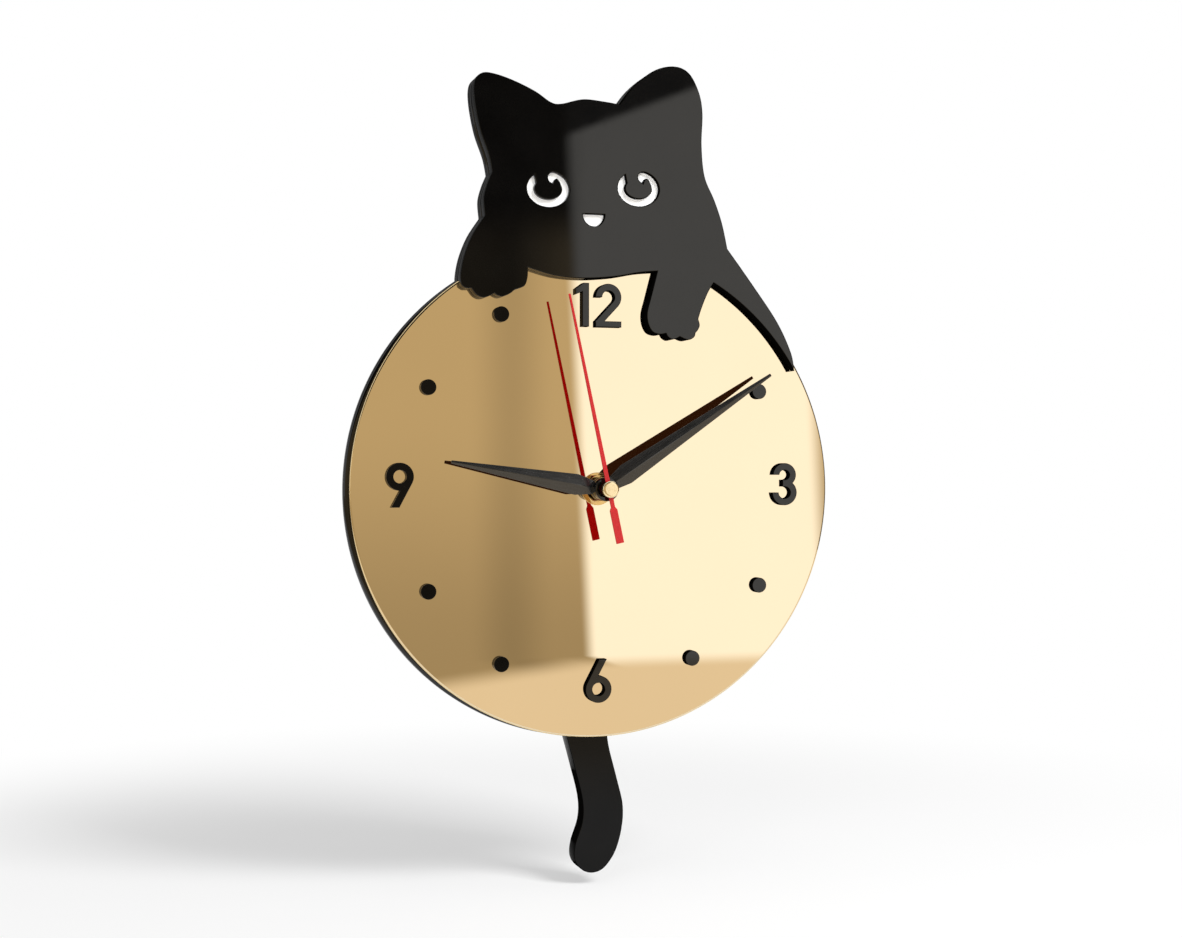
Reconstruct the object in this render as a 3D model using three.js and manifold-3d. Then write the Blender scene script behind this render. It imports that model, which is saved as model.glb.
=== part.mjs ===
// Cat pendulum wall clock: a black acrylic cat over a gold mirror dial, with a quartz pendulum movement.
// Millimetres, +Z up. The wall is the plane y = 0 and the dial faces -Y, so a depth d lies at y = -d.
// The origin is where the dial's axis meets the wall. Outlines are drawn in x and z, seen from the front.
import * as THREE from 'three';
import { ConvexGeometry } from 'three/addons/geometries/ConvexGeometry.js';
import { mergeVertices } from 'three/addons/utils/BufferGeometryUtils.js';
import Module from 'manifold-3d';

const wasm = await Module();
wasm.setup();

// Clearances
const TAPE = 0.1; // glue line between stacked pieces
const CLEARANCE = 0.3; // around a piece that drops into a hole or pocket
const RUNNING = 0.12; // radial gap between a shaft and its bearing
const OVERCUT = 1; // how far a cutting tool runs past the face it cuts

// Facets
const CURVE_STEPS = 3;
const SHAFT_SIDES = 10;
const HUB_SIDES = 20;
const DIAL_SIDES = 96;
const WELD = 1e-4;

// Acrylic plates
const DIAL_RADIUS = 100;
const DIAL_THICKNESS = 3;
const BACK_THICKNESS = 5;
const BACK_INSET = 0.5; // how much smaller than the dial the black disc is all round
const BACK_OFFSET = 2.3; // how far the disc's middle stands to the left of the dial's
const BACK_DROP = 0.4; // and below it
const CAT_THICKNESS = 4.5;
const SPACER_INSET = 0.6; // shadow line between the cat and the back plate
const HAUNCH_OVERLAP = 3.1; // how far the haunch covers the dial's rim
const HAUNCH_TIP_ANGLE = 30.1;
const HAUNCH_ARM_X = 48.3; // where the haunch meets the right arm
const CHIN_INSET = 15.8; // from the dial's highest point down to the chin

// Numerals and hour dots
const NUMERAL_THICKNESS = 2;
const NUMERAL_INSET = 14; // from the dial's rim to the outer edge of three, six and nine
const NUMERAL_CHIN_GAP = 1.5; // from the chin down to the twelve
const SIDE_NUMERAL_RISE = 1.7; // three and nine sit a little above the axis
const NUMERAL_HEIGHT = 17.5;
const NUMERAL_WIDTH = 10.9;
const NUMERAL_STROKE = 2.85;
const NUMERAL_SPACING = 2.7;
const NUMERAL_ONE_WIDTH = 5.7;
const ONE_FLAG = 2.4;
const TWO_BASE = 2.4;
const THREE_LOWER_HALF = 5.3; // half the height of the lower bowl
const THREE_STEP = 0.35; // how much narrower the upper bowl is, each side
const THREE_STUB = 0.9;
const TWO_SLANT = 43;
const NINE_SLANT = 28;
const DOT_RADIUS = 3.1;
const DOT_INSET = 20; // from the dial's rim to the dots' centres
const DOT_HOURS = ['02', '04', '05', '07', '08', '10', '11'];

// Cat's face
const FACE_CENTRE_X = -2.7;
const EYE_SPACING = 37.6;
const EYE_HEIGHT = 35.9; // above the chin
const EYE_LIFT = 0.9; // the right eye stands this much above that height, the left one below it
const EYE_HALF_WIDTH = 8.75;
const EYE_HALF_DROP = 7.1;
const EYE_BAND = 3;
const EYE_TIP_ANGLE = 130; // where the outer curve begins, counterclockwise to its top
const EYE_TOP_ANGLE = 433;
const EYE_INNER_TOP_ANGLE = 372; // where the inner curve begins, clockwise back to the tip
const EYE_INNER_TIP_ANGLE = 150;
const MOUTH_HEIGHT = 25.8;
const MOUTH_HALF_WIDTH = 4.5;
const MOUTH_DROP = 4.9;
const INLAY_MARGIN = 4.5; // white inlay around the eyes and mouth

// Hands
const HOUR_HAND_LENGTH = 62.2;
const MINUTE_HAND_LENGTH = 85;
const SECOND_HAND_LENGTH = 78.3;
const SECOND_TAIL_LENGTH = 21.8;
const HOUR_HAND_ANGLE = 280;
const MINUTE_HAND_ANGLE = 56.8;
const SECOND_HAND_ANGLE = 348;
const HOUR_HAND_RISE = 6.4; // from the dial's face to the back of the blade
const MINUTE_HAND_RISE = 9.8;
const SECOND_HAND_RISE = 16.4;
const BLADE_HALF_WIDTH = 4.2;
const BLADE_WIDEST_AT = 10.8;
const BLADE_ROOT_AT = 3.2;
const BLADE_ROOT_HALF_WIDTH = 2.6;
const BLADE_TIP_HALF_WIDTH = 0.6;
const BLADE_EDGE = 0.4;
const BLADE_RIDGE_SLOPE = 0.22;
const HAND_HUB_RADIUS = 4.8;
const HAND_HUB_BEHIND = 0.9;
const HOUR_HUB_FRONT = 1.9; // from the back of the blade
const MINUTE_HUB_FRONT = 4.2;
const SECOND_HAND_THICKNESS = 0.6;
const SECOND_HUB_RADIUS = 2.5;
const SECOND_TIP_HALF_WIDTH = 0.45;
const SECOND_ROOT_HALF_WIDTH = 0.95;
const SECOND_NECK_HALF_WIDTH = 0.85;
const SECOND_NECK_LENGTH = 7.2;
const SECOND_SHOULDER = 1.2;
const SECOND_WEIGHT_HALF_WIDTH = 1.6;
const CAP_RADIUS = 3.3;
const CAP_HEIGHT = 2.4;
const CAP_SLEEVE_WALL = 0.7;
const CAP_SLEEVE_LENGTH = 2.4;

// Quartz movement
const CASE_WALL = 1.5;
const COVER_THICKNESS = 1.5;
const COVER_STANDOFF = 1.5; // from the cover to the bearing plate
const BEARING_THICKNESS = 1.2;
const LEVEL_PITCH = 1.75; // between neighbouring wheels along the axis
const FIRST_LEVEL_GAP = 2.05; // from the bearing plate to the middle of the lowest wheel
const LAST_LEVEL_GAP = 1.5; // from the middle of the hour wheel to the case front
const WHEEL_THICKNESS = 0.9;
const PINION_THICKNESS = 1.3;
const TRAIN_HALF_HEIGHT = 26.5;
const PARTITION = 1.2;
const PENDULUM_ROOM = 31;
const POST_RADIUS = 2.6;
const POST_EDGE_GAP = 0.5;
const BOSS_RADIUS = 1.8;
const BOSS_HEIGHT = 0.75;
const PIVOT_DEPTH = 0.6; // how far an arbor runs into the case front
const GASKET_THICKNESS = 0.8;
const GASKET_HALF_WIDTH = 20;

// Arbors and pipes on the dial's axis
const SECONDS_ARBOR_RADIUS = 0.8;
const MINUTE_PIPE_WALL = 0.7;
const HOUR_PIPE_WALL = 0.75;
const BUSH_WALL = 1.4;
const BUSH_FLANGE_RADIUS = 6.5;
const BUSH_FLANGE_THICKNESS = 0.6;
const BUSH_PROUD = 0.6;
const WASHER_RADIUS = 6.6;
const WASHER_THICKNESS = 0.5;
const NUT_CORNER_RADIUS = 6.3;
const NUT_HEIGHT = 2.6;
const ARBOR_RADIUS = 0.7;
const MOTION_ARBOR_RADIUS = 0.9;
const ARBOR_WHEEL_GAP = 0.5; // between an arbor and the rim of the centre wheel

// Gear train: counts of teeth, and where each arbor stands as seen from the front
const SECONDS_WHEEL_TEETH = 50;
const SECONDS_PINION_TEETH = 8;
const THIRD_WHEEL_TEETH = 64;
const THIRD_PINION_TEETH = 8;
const CENTRE_WHEEL_TEETH = 60;
const FIFTH_WHEEL_TEETH = 60;
const FIFTH_PINION_TEETH = 10;
const ROTOR_PINION_TEETH = 10;
const CANNON_PINION_TEETH = 16;
const MOTION_WHEEL_TEETH = 48;
const MOTION_PINION_TEETH = 12;
const HOUR_WHEEL_TEETH = 48;
const THIRD_CENTRES = 12.24;
const ROTOR_CENTRES = 10.5;
const THIRD_ANGLE = 45;
const MOTION_ANGLE = 200;
const FIFTH_ANGLE = -60;
const ROTOR_ANGLE = -30;
const ADDENDUM = 0.75;
const DEDENDUM = 1.5;
const TOOTH_TIP_SHARE = 0.06; // half a tooth's width at its tip, as a share of the pitch

// Motor, circuit, cell and setting knob
const ROTOR_MAGNET_RADIUS = 2.5;
const ROTOR_GAP = 0.6;
const STATOR_THICKNESS = 1;
const STATOR_MARGIN = 1.4; // iron beyond the rotor's hole
const STATOR_LEG = 4;
const STATOR_SPAN = 34;
const COIL_RADIUS = 3.2;
const COIL_FLANGE = 0.8;
const CORE_THICKNESS = 1.2;
const CORE_WIDTH = 3;
const BOARD_THICKNESS = 1;
const BOARD_WIDTH = 11.5;
const BOARD_HEIGHT = 30;
const CRYSTAL_RADIUS = 1;
const CRYSTAL_LENGTH = 6;
const CELL_DIAMETER = 14.5; // AA cell
const CELL_LENGTH = 50.5;
const CELL_NUB_RADIUS = 2.75;
const CELL_NUB_LENGTH = 1.4;
const CONTACT_THICKNESS = 0.5;
const CONTACT_HALF_WIDTH = 5;
const KNOB_RADIUS = 7.4;
const KNOB_THICKNESS = 1.7;
const KNOB_RECESS = 0.3;
const KNOB_HUB_RADIUS = 2.4;
const KNOB_FLUTES = 18;
const KNOB_FLUTE_DEPTH = 0.5;

// Pendulum
const PENDULUM_SWING = 9; // degrees each way
const PIVOT_DROP = 6; // below the top of the pendulum's room
const PIN_RADIUS = 1;
const LEVER_THICKNESS = 3;
const LEVER_HALF_WIDTH = 3.2;
const LEVER_EYE_RADIUS = 4;
const LEVER_REAR_GAP = 4; // from the cover to the lever
const LEVER_REACH = 12; // below the case
const MAGNET_DROP = 16; // below the pivot
const MAGNET_RADIUS = 5;
const MAGNET_THICKNESS = 3;
const MAGNET_COIL_GAP = 0.7;
const PENDULUM_COIL_RADIUS = 6;
const PENDULUM_COIL_FLANGE = 0.6;
const TAIL_THICKNESS = 8;
const TAIL_TAB_HALF_WIDTH = 6;
const TAIL_CASE_GAP = 3;
const TAIL_SCREW_RADIUS = 1.5;
const TAIL_SCREW_HEAD = 2.8;
const TAIL_SCREW_HEAD_HEIGHT = 1.4;
const TAIL_NUT_RADIUS = 3.1;
const TAIL_NUT_HEIGHT = 1.8;

// Hanger and screws
const HANGER_THICKNESS = 1.2;
const HANGER_HALF_WIDTH = 15;
const HANGER_HEIGHT = 29;
const HANGER_FOOT = 13;
const NAIL_HALF_WIDTH = 2.3;
const KEYHOLE_RADIUS = 4.5;
const KEYHOLE_RISE = 15; // from the case's top to the middle of the keyhole
const KEYHOLE_SLOT = 9; // from there to the nail's seat
const HANGER_SCREW_SPACING = 18;
const SCREW_RADIUS = 0.9;
const SCREW_HEAD_RADIUS = 2;
const SCREW_HEAD_HEIGHT = 0.9;
const SCREW_LENGTH = 7;

// Runs of smooth curve along the cat's outline, clockwise, which meet at corners. x is from the dial's
// axis and z from the chin.
const LEFT_FLANK = [[-56.7, -4.2], [-57.2, -0.2], [-55.7, 7.6], [-52.3, 16], [-47.4, 23.5]];
const LEFT_CHEEK = [[-47.4, 23.5], [-47.9, 30.4], [-46.4, 36.3], [-44.5, 40.8]];
const LEFT_EAR_AND_CROWN = [
  [-44.5, 40.8], [-45.9, 47.6], [-49.4, 57.5], [-51.6, 68.8], [-51.5, 76.2], [-48.4, 79.5], [-43.5, 79.5],
  [-35.7, 77.3], [-26.8, 73.5], [-20.5, 69.6], [-16.1, 69.2], [-7.2, 71.5], [1.6, 71.1], [8.2, 70.3],
];
const RIGHT_EAR_AND_SIDE = [
  [8.2, 70.3], [14.4, 78.3], [22.8, 84.9], [31.2, 87.1], [37.6, 84.8], [41.9, 77.3], [43.5, 68.7],
  [43.1, 55.8], [44.4, 43.1], [48.7, 33.4], [52, 24.1], [54.3, 13.9],
];
const RIGHT_ARM_OUTSIDE = [[45.7, -4.6], [43.1, -10.8], [41.7, -15.1]];
const RIGHT_TOE_OUTER = [[41.7, -15.1], [42.3, -17.6], [41.6, -19.5], [40.5, -20.8]];
const RIGHT_TOE_THIRD = [[40.5, -20.8], [40, -22.4], [38.1, -23.6], [36.1, -23.5], [33.7, -22.5]];
const RIGHT_TOE_SECOND = [[33.7, -22.5], [31.9, -23.4], [30.2, -23.6], [28.5, -22.6], [27.7, -21.3]];
const RIGHT_ARM_INSIDE = [
  [27.7, -21.3], [24.9, -21.7], [21.8, -20.6], [20, -17.2], [19.7, -12.7], [21.2, -6.8], [24, 3.8],
];
const CHIN = [[24, 3.8], [16.4, 3], [5.6, 1], [-7.2, 0], [-19, 0.8], [-29.9, 3.6]];
const LEFT_ARM_INSIDE = [[-29.9, 3.6], [-30, -0.1], [-31, -3.4], [-33.1, -4.7], [-35.2, -5.3]];
const LEFT_TOE_THIRD = [[-35.2, -5.3], [-37.1, -6.9], [-40.1, -8.2], [-42.2, -7.8], [-43.5, -7]];
const LEFT_TOE_SECOND = [[-43.5, -7], [-45.9, -8.3], [-48.4, -8.8], [-50.8, -7.7], [-52.7, -5.3]];
const LEFT_TOE_OUTER = [[-52.7, -5.3], [-55, -5.3], [-56.7, -4.2]];
const HEAD_RUNS = [LEFT_FLANK, LEFT_CHEEK, LEFT_EAR_AND_CROWN, RIGHT_EAR_AND_SIDE];
const PAW_RUNS = [
  RIGHT_TOE_OUTER, RIGHT_TOE_THIRD, RIGHT_TOE_SECOND, RIGHT_ARM_INSIDE,
  CHIN, LEFT_ARM_INSIDE, LEFT_TOE_THIRD, LEFT_TOE_SECOND, LEFT_TOE_OUTER,
];

// The haunch's back, as degrees round the dial from +x and height above its rim.
const HAUNCH_BACK = [[52.4, 6.4], [42.1, 2.6], [34.3, -0.3]];

// Outline of the tail below the dial, from its upper left round the tip. z is from the dial's lowest point.
const TAIL_CURVE = [
  [-9.9, -0.9], [-6.4, -13.8], [-3.2, -26.8], [-3.2, -35.7], [-6.2, -45.1], [-6.4, -51.5], [-3, -55.9],
  [1.8, -57.1], [6.5, -55], [11, -48.6], [13.7, -39.2], [14.1, -29.9], [11.8, -19.9], [8.4, -7], [7.4, -1],
];

// Hook of an eye's curl, from the top of its outer curve to the top of its inner one, from the eye's middle.
const EYE_CURL = [[1, 6.6], [-0.1, 5], [0.3, 3.3], [1.9, 2.1]];
const EYE_CURL_INSIDE = [[2.4, 3.5], [3.5, 4.3], [4.6, 3.2]];

// Depths from the wall
const CASE_REAR = COVER_THICKNESS + TAPE;
const BEARING_REAR = COVER_THICKNESS + COVER_STANDOFF;
const BEARING_FRONT = BEARING_REAR + BEARING_THICKNESS;
const LEVELS = 6;
const FIFTH_LEVEL = BEARING_FRONT + FIRST_LEVEL_GAP;
const SECONDS_LEVEL = FIFTH_LEVEL + LEVEL_PITCH;
const THIRD_LEVEL = SECONDS_LEVEL + LEVEL_PITCH;
const CENTRE_LEVEL = THIRD_LEVEL + LEVEL_PITCH;
const MOTION_LEVEL = CENTRE_LEVEL + LEVEL_PITCH;
const HOUR_LEVEL = FIFTH_LEVEL + (LEVELS - 1) * LEVEL_PITCH;
const CELL_FRONT = COVER_THICKNESS + CELL_DIAMETER + 2 * CLEARANCE;
const CASE_INNER_FRONT = Math.max(HOUR_LEVEL + LAST_LEVEL_GAP, CELL_FRONT);
const CASE_FRONT = CASE_INNER_FRONT + CASE_WALL;
const BACK_REAR = CASE_FRONT + GASKET_THICKNESS;
const BACK_FRONT = BACK_REAR + BACK_THICKNESS;
const DIAL_REAR = BACK_FRONT + TAPE;
const DIAL_FRONT = DIAL_REAR + DIAL_THICKNESS;
const APPLIED_REAR = DIAL_FRONT + TAPE;
const CAT_FRONT = APPLIED_REAR + CAT_THICKNESS;
const WASHER_FRONT = DIAL_FRONT + WASHER_THICKNESS;
const NUT_FRONT = WASHER_FRONT + NUT_HEIGHT;
const BUSH_FRONT = NUT_FRONT + BUSH_PROUD;
const HOUR_BLADE_REAR = DIAL_FRONT + HOUR_HAND_RISE;
const MINUTE_BLADE_REAR = DIAL_FRONT + MINUTE_HAND_RISE;
const SECOND_BLADE_REAR = DIAL_FRONT + SECOND_HAND_RISE;
const HOUR_HUB_END = HOUR_BLADE_REAR + HOUR_HUB_FRONT;
const MINUTE_HUB_END = MINUTE_BLADE_REAR + MINUTE_HUB_FRONT;
const CAP_REAR = SECOND_BLADE_REAR + SECOND_HAND_THICKNESS + TAPE;
const CAP_FRONT = CAP_REAR + CAP_HEIGHT;
const LEVER_REAR = COVER_THICKNESS + LEVER_REAR_GAP;
const LEVER_FRONT = LEVER_REAR + LEVER_THICKNESS;
const TAIL_REAR = LEVER_FRONT + TAPE;
const TAIL_FRONT = TAIL_REAR + TAIL_THICKNESS;
const MAGNET_FRONT = LEVER_FRONT + TAPE + MAGNET_THICKNESS;

// Radii on the dial's axis
const MINUTE_BORE = SECONDS_ARBOR_RADIUS + RUNNING;
const MINUTE_PIPE_RADIUS = MINUTE_BORE + MINUTE_PIPE_WALL;
const HOUR_BORE = MINUTE_PIPE_RADIUS + RUNNING;
const HOUR_PIPE_RADIUS = HOUR_BORE + HOUR_PIPE_WALL;
const BUSH_BORE = HOUR_PIPE_RADIUS + RUNNING;
const BUSH_RADIUS = BUSH_BORE + BUSH_WALL;
const BUSH_HOLE = BUSH_RADIUS + CLEARANCE;
const CAP_BORE = SECONDS_ARBOR_RADIUS + TAPE;
const CAP_SLEEVE_RADIUS = CAP_BORE + CAP_SLEEVE_WALL;

// Gear sizes and arbor places
const moduleOf = (centres, teethA, teethB) => (2 * centres) / (teethA + teethB);
const polar = (radius, degrees) => new THREE.Vector2(radius, 0).rotateAround(
  new THREE.Vector2(),
  THREE.MathUtils.degToRad(degrees),
);
const CENTRE_MODULE = moduleOf(THIRD_CENTRES, THIRD_PINION_TEETH, CENTRE_WHEEL_TEETH);
const THIRD_MODULE = moduleOf(THIRD_CENTRES, SECONDS_PINION_TEETH, THIRD_WHEEL_TEETH);
const CENTRE_WHEEL_TIP = CENTRE_MODULE * (CENTRE_WHEEL_TEETH / 2 + ADDENDUM);
const FIFTH_CENTRES = CENTRE_WHEEL_TIP + ARBOR_RADIUS + ARBOR_WHEEL_GAP;
const MOTION_CENTRES = CENTRE_WHEEL_TIP + MOTION_ARBOR_RADIUS + ARBOR_WHEEL_GAP + CLEARANCE;
const SECONDS_MODULE = moduleOf(FIFTH_CENTRES, SECONDS_WHEEL_TEETH, FIFTH_PINION_TEETH);
const FIFTH_MODULE = moduleOf(ROTOR_CENTRES, FIFTH_WHEEL_TEETH, ROTOR_PINION_TEETH);
const MOTION_MODULE = moduleOf(MOTION_CENTRES, CANNON_PINION_TEETH, MOTION_WHEEL_TEETH);
const HOUR_MODULE = moduleOf(MOTION_CENTRES, MOTION_PINION_TEETH, HOUR_WHEEL_TEETH);
const THIRD_AT = polar(THIRD_CENTRES, THIRD_ANGLE);
const MOTION_AT = polar(MOTION_CENTRES, MOTION_ANGLE);
const FIFTH_AT = polar(FIFTH_CENTRES, FIFTH_ANGLE);
const ROTOR_AT = polar(ROTOR_CENTRES, ROTOR_ANGLE).add(FIFTH_AT);

// Rooms of the movement case, from the top: gear train, cell, pendulum
const ROTOR_HOLE = ROTOR_MAGNET_RADIUS + ROTOR_GAP;
const STATOR_RIGHT = ROTOR_AT.x + ROTOR_HOLE + STATOR_MARGIN;
const STATOR_LEFT = STATOR_RIGHT - STATOR_SPAN - STATOR_LEG;
const STATOR_REACH = Math.max(STATOR_RIGHT, -STATOR_LEFT);
const CASE_INNER_HALF_WIDTH = Math.max(
  CELL_LENGTH / 2 + CLEARANCE + CONTACT_THICKNESS + TAPE,
  STATOR_REACH + CLEARANCE + 2 * POST_RADIUS + POST_EDGE_GAP,
);
const CASE_HALF_WIDTH = CASE_INNER_HALF_WIDTH + CASE_WALL;
const CASE_TOP = TRAIN_HALF_HEIGHT + CASE_WALL;
const CELL_ROOM_TOP = -TRAIN_HALF_HEIGHT - PARTITION;
const CELL_Z = CELL_ROOM_TOP - CLEARANCE - CELL_DIAMETER / 2;
const CELL_ROOM_BOTTOM = CELL_Z - CELL_DIAMETER / 2 - CLEARANCE;
const PENDULUM_ROOM_TOP = CELL_ROOM_BOTTOM - PARTITION;
const PENDULUM_ROOM_BOTTOM = PENDULUM_ROOM_TOP - PENDULUM_ROOM;
const CASE_BOTTOM = PENDULUM_ROOM_BOTTOM - CASE_WALL;
const CELL_DEPTH = (COVER_THICKNESS + CASE_INNER_FRONT) / 2;
const POST_X = CASE_INNER_HALF_WIDTH - POST_RADIUS - POST_EDGE_GAP;
const POST_TOP_Z = TRAIN_HALF_HEIGHT - POST_RADIUS - POST_EDGE_GAP;
const POST_BOTTOM_Z = PENDULUM_ROOM_BOTTOM + POST_RADIUS + POST_EDGE_GAP;
const PIVOT_Z = PENDULUM_ROOM_TOP - PIVOT_DROP;
const MAGNET_Z = PIVOT_Z - MAGNET_DROP;
const LEVER_END_Z = CASE_BOTTOM - LEVER_REACH;
const TAIL_TOP_Z = CASE_BOTTOM - TAIL_CASE_GAP;
const TAIL_SCREW_Z = (TAIL_TOP_Z + LEVER_END_Z) / 2;
const NAIL_Z = CASE_TOP + KEYHOLE_RISE + KEYHOLE_SLOT;
const CHIN_Z = DIAL_RADIUS - CHIN_INSET;
const TWELVE_TOP_Z = CHIN_Z - NUMERAL_CHIN_GAP;
const NUMERAL_EDGE = DIAL_RADIUS - NUMERAL_INSET;

// Motor places: the coil lies under the train, and the stator joins its ends to the rotor
const COIL_Z = -TRAIN_HALF_HEIGHT + COIL_RADIUS + CLEARANCE;
const STATOR_REAR = THIRD_LEVEL - STATOR_THICKNESS / 2;
const STATOR_FRONT = STATOR_REAR + STATOR_THICKNESS;
const CORE_REAR = STATOR_FRONT + TAPE;
const CORE_FRONT = CORE_REAR + CORE_THICKNESS;
const COIL_DEPTH = (CORE_REAR + CORE_FRONT) / 2;
const STATOR_BLOCK_LEFT = ROTOR_AT.x - ROTOR_HOLE - STATOR_MARGIN;
const STATOR_BOTTOM = COIL_Z - CORE_WIDTH / 2;
const STATOR_TOP = ROTOR_AT.y + ROTOR_HOLE + STATOR_MARGIN;
const YOKE_BOTTOM = COIL_Z + COIL_RADIUS + CLEARANCE;
const CORE_LEFT_X = STATOR_LEFT + STATOR_LEG / 2;
const CORE_RIGHT_X = STATOR_BLOCK_LEFT + STATOR_LEG / 2;

const clock = new THREE.Group();

function add(name, geometry, colour, roughness, metalness, x = 0, z = 0, turn = 0) {
  const material = new THREE.MeshStandardMaterial({ color: colour, roughness, metalness });
  const mesh = new THREE.Mesh(geometry, material);
  mesh.name = name;
  mesh.position.set(x, 0, z);
  mesh.rotation.y = THREE.MathUtils.degToRad(turn);
  clock.add(mesh);
}

// Closed solids

function welded(geometry) {
  const bare = new THREE.BufferGeometry();
  bare.setAttribute('position', geometry.getAttribute('position'));
  bare.setIndex(geometry.getIndex());
  const merged = mergeVertices(bare, WELD);
  const corners = merged.getIndex().array;
  const kept = [];
  for (let i = 0; i < corners.length; i += 3) {
    const [a, b, c] = corners.slice(i, i + 3);
    if (a !== b && b !== c && c !== a) {
      kept.push(a, b, c);
    }
  }
  merged.setIndex(kept);
  return merged;
}

function solid(geometry) {
  const merged = welded(geometry);
  return new wasm.Manifold(new wasm.Mesh({
    numProp: 3,
    vertProperties: new Float32Array(merged.getAttribute('position').array),
    triVerts: new Uint32Array(merged.getIndex().array),
  }));
}

function geometryOf(body) {
  const mesh = body.getMesh();
  const geometry = new THREE.BufferGeometry();
  geometry.setAttribute('position', new THREE.BufferAttribute(mesh.vertProperties, 3));
  geometry.setIndex(new THREE.BufferAttribute(mesh.triVerts, 1));
  return geometry;
}

function joined(first, ...others) {
  return geometryOf(others.reduce((body, other) => body.add(solid(other)), solid(first)));
}

function cut(first, ...others) {
  return geometryOf(others.reduce((body, other) => body.subtract(solid(other)), solid(first)));
}

// A flat piece between two depths
function plate(shape, from, to) {
  const options = { depth: to - from, bevelEnabled: false, curveSegments: CURVE_STEPS };
  return new THREE.ExtrudeGeometry(shape, options).translate(0, 0, from).rotateX(Math.PI / 2);
}

function block(left, right, from, to, bottom, top) {
  const box = new THREE.BoxGeometry(right - left, to - from, top - bottom);
  return box.translate((left + right) / 2, -(from + to) / 2, (bottom + top) / 2);
}

function polygon(sides, radius, x = 0, z = 0, turn = 0) {
  const points = [];
  for (let i = 0; i < sides; i += 1) {
    const angle = turn + (2 * Math.PI * i) / sides;
    points.push(new THREE.Vector2(x + radius * Math.cos(angle), z + radius * Math.sin(angle)));
  }
  return points;
}

function rod(radius, from, to, sides = SHAFT_SIDES, x = 0, z = 0) {
  return plate(new THREE.Shape(polygon(sides, radius, x, z)), from, to);
}

function ring(outer, inner, from, to, sides = HUB_SIDES, x = 0, z = 0) {
  const shape = new THREE.Shape(polygon(sides, outer, x, z));
  shape.holes.push(new THREE.Path(polygon(sides, inner, x, z)));
  return plate(shape, from, to);
}

// A piece turned about the dial's axis from a profile of radius and depth
function turned(profile, sides = HUB_SIDES) {
  const points = profile.map(([radius, depth]) => new THREE.Vector2(radius, -depth));
  if (THREE.ShapeUtils.area(points) < 0) {
    points.reverse();
  }
  return new THREE.LatheGeometry(points, sides);
}

function rectangle(left, right, bottom, top) {
  const corners = [[left, bottom], [right, bottom], [right, top], [left, top]];
  return new THREE.Shape(corners.map(([x, z]) => new THREE.Vector2(x, z)));
}

// Cat and dial plates

const fromChin = ([x, z]) => new THREE.Vector2(x, CHIN_Z + z);
const HAUNCH_RADIUS = DIAL_RADIUS - HAUNCH_OVERLAP;

// The head and back: everything of the outline that shows beyond the dial
function traceHead(path) {
  const start = fromChin(LEFT_FLANK[0]);
  path.moveTo(start.x, start.y);
  for (const run of HEAD_RUNS) {
    path.splineThru(run.slice(1).map(fromChin));
  }
  const back = HAUNCH_BACK.map(([degrees, height]) => polar(DIAL_RADIUS + height, degrees));
  path.splineThru([...back, polar(HAUNCH_RADIUS, HAUNCH_TIP_ANGLE)]);
}

function headShape() {
  const shape = new THREE.Shape();
  traceHead(shape);
  return shape;
}

function catShape() {
  const shape = new THREE.Shape();
  const start = THREE.MathUtils.degToRad(HAUNCH_TIP_ANGLE);
  const end = Math.acos(HAUNCH_ARM_X / HAUNCH_RADIUS);
  traceHead(shape);
  shape.absarc(0, 0, HAUNCH_RADIUS, start, end, false);
  shape.splineThru(RIGHT_ARM_OUTSIDE.map(fromChin));
  for (const run of PAW_RUNS) {
    shape.splineThru(run.slice(1).map(fromChin));
  }
  return shape;
}

// An eye is a crescent open at its upper left, whose outer end curls in
function eyePath(x, z) {
  const path = new THREE.Path();
  const shifted = ([dx, dz]) => new THREE.Vector2(x + dx, z + dz);
  const tip = THREE.MathUtils.degToRad(EYE_TIP_ANGLE);
  const top = THREE.MathUtils.degToRad(EYE_TOP_ANGLE);
  const innerTop = THREE.MathUtils.degToRad(EYE_INNER_TOP_ANGLE);
  const innerTip = THREE.MathUtils.degToRad(EYE_INNER_TIP_ANGLE);
  path.absellipse(x, z, EYE_HALF_WIDTH, EYE_HALF_DROP, tip, top, false, 0);
  path.splineThru(EYE_CURL.map(shifted));
  path.splineThru(EYE_CURL_INSIDE.map(shifted));
  path.absellipse(x, z, EYE_HALF_WIDTH - EYE_BAND, EYE_HALF_DROP - EYE_BAND, innerTop, innerTip, true, 0);
  return path;
}

function mouthPath() {
  const path = new THREE.Path();
  const z = CHIN_Z + MOUTH_HEIGHT;
  path.absellipse(FACE_CENTRE_X, z, MOUTH_HALF_WIDTH, MOUTH_DROP, Math.PI, 2 * Math.PI, false, 0);
  return path;
}

const eyeX = (side) => FACE_CENTRE_X + (side * EYE_SPACING) / 2;
const INLAY_BOX = [
  eyeX(-1) - EYE_HALF_WIDTH - INLAY_MARGIN,
  eyeX(1) + EYE_HALF_WIDTH + INLAY_MARGIN,
  CHIN_Z + MOUTH_HEIGHT - MOUTH_DROP - INLAY_MARGIN,
  CHIN_Z + EYE_HEIGHT + EYE_LIFT + EYE_HALF_DROP + INLAY_MARGIN,
];

function catPlate() {
  const shape = catShape();
  for (const side of [-1, 1]) {
    shape.holes.push(eyePath(eyeX(side), CHIN_Z + EYE_HEIGHT + side * EYE_LIFT));
  }
  shape.holes.push(mouthPath());
  return plate(shape, APPLIED_REAR, CAT_FRONT);
}

// Moves each point of a clockwise outline inwards, square to the line between its neighbours
function inset(points, distance) {
  return points.map((point, i) => {
    const before = points.at(i - 1);
    const after = points[(i + 1) % points.length];
    const along = after.clone().sub(before).normalize();
    return new THREE.Vector2(point.x + along.y * distance, point.y - along.x * distance);
  });
}

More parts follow.
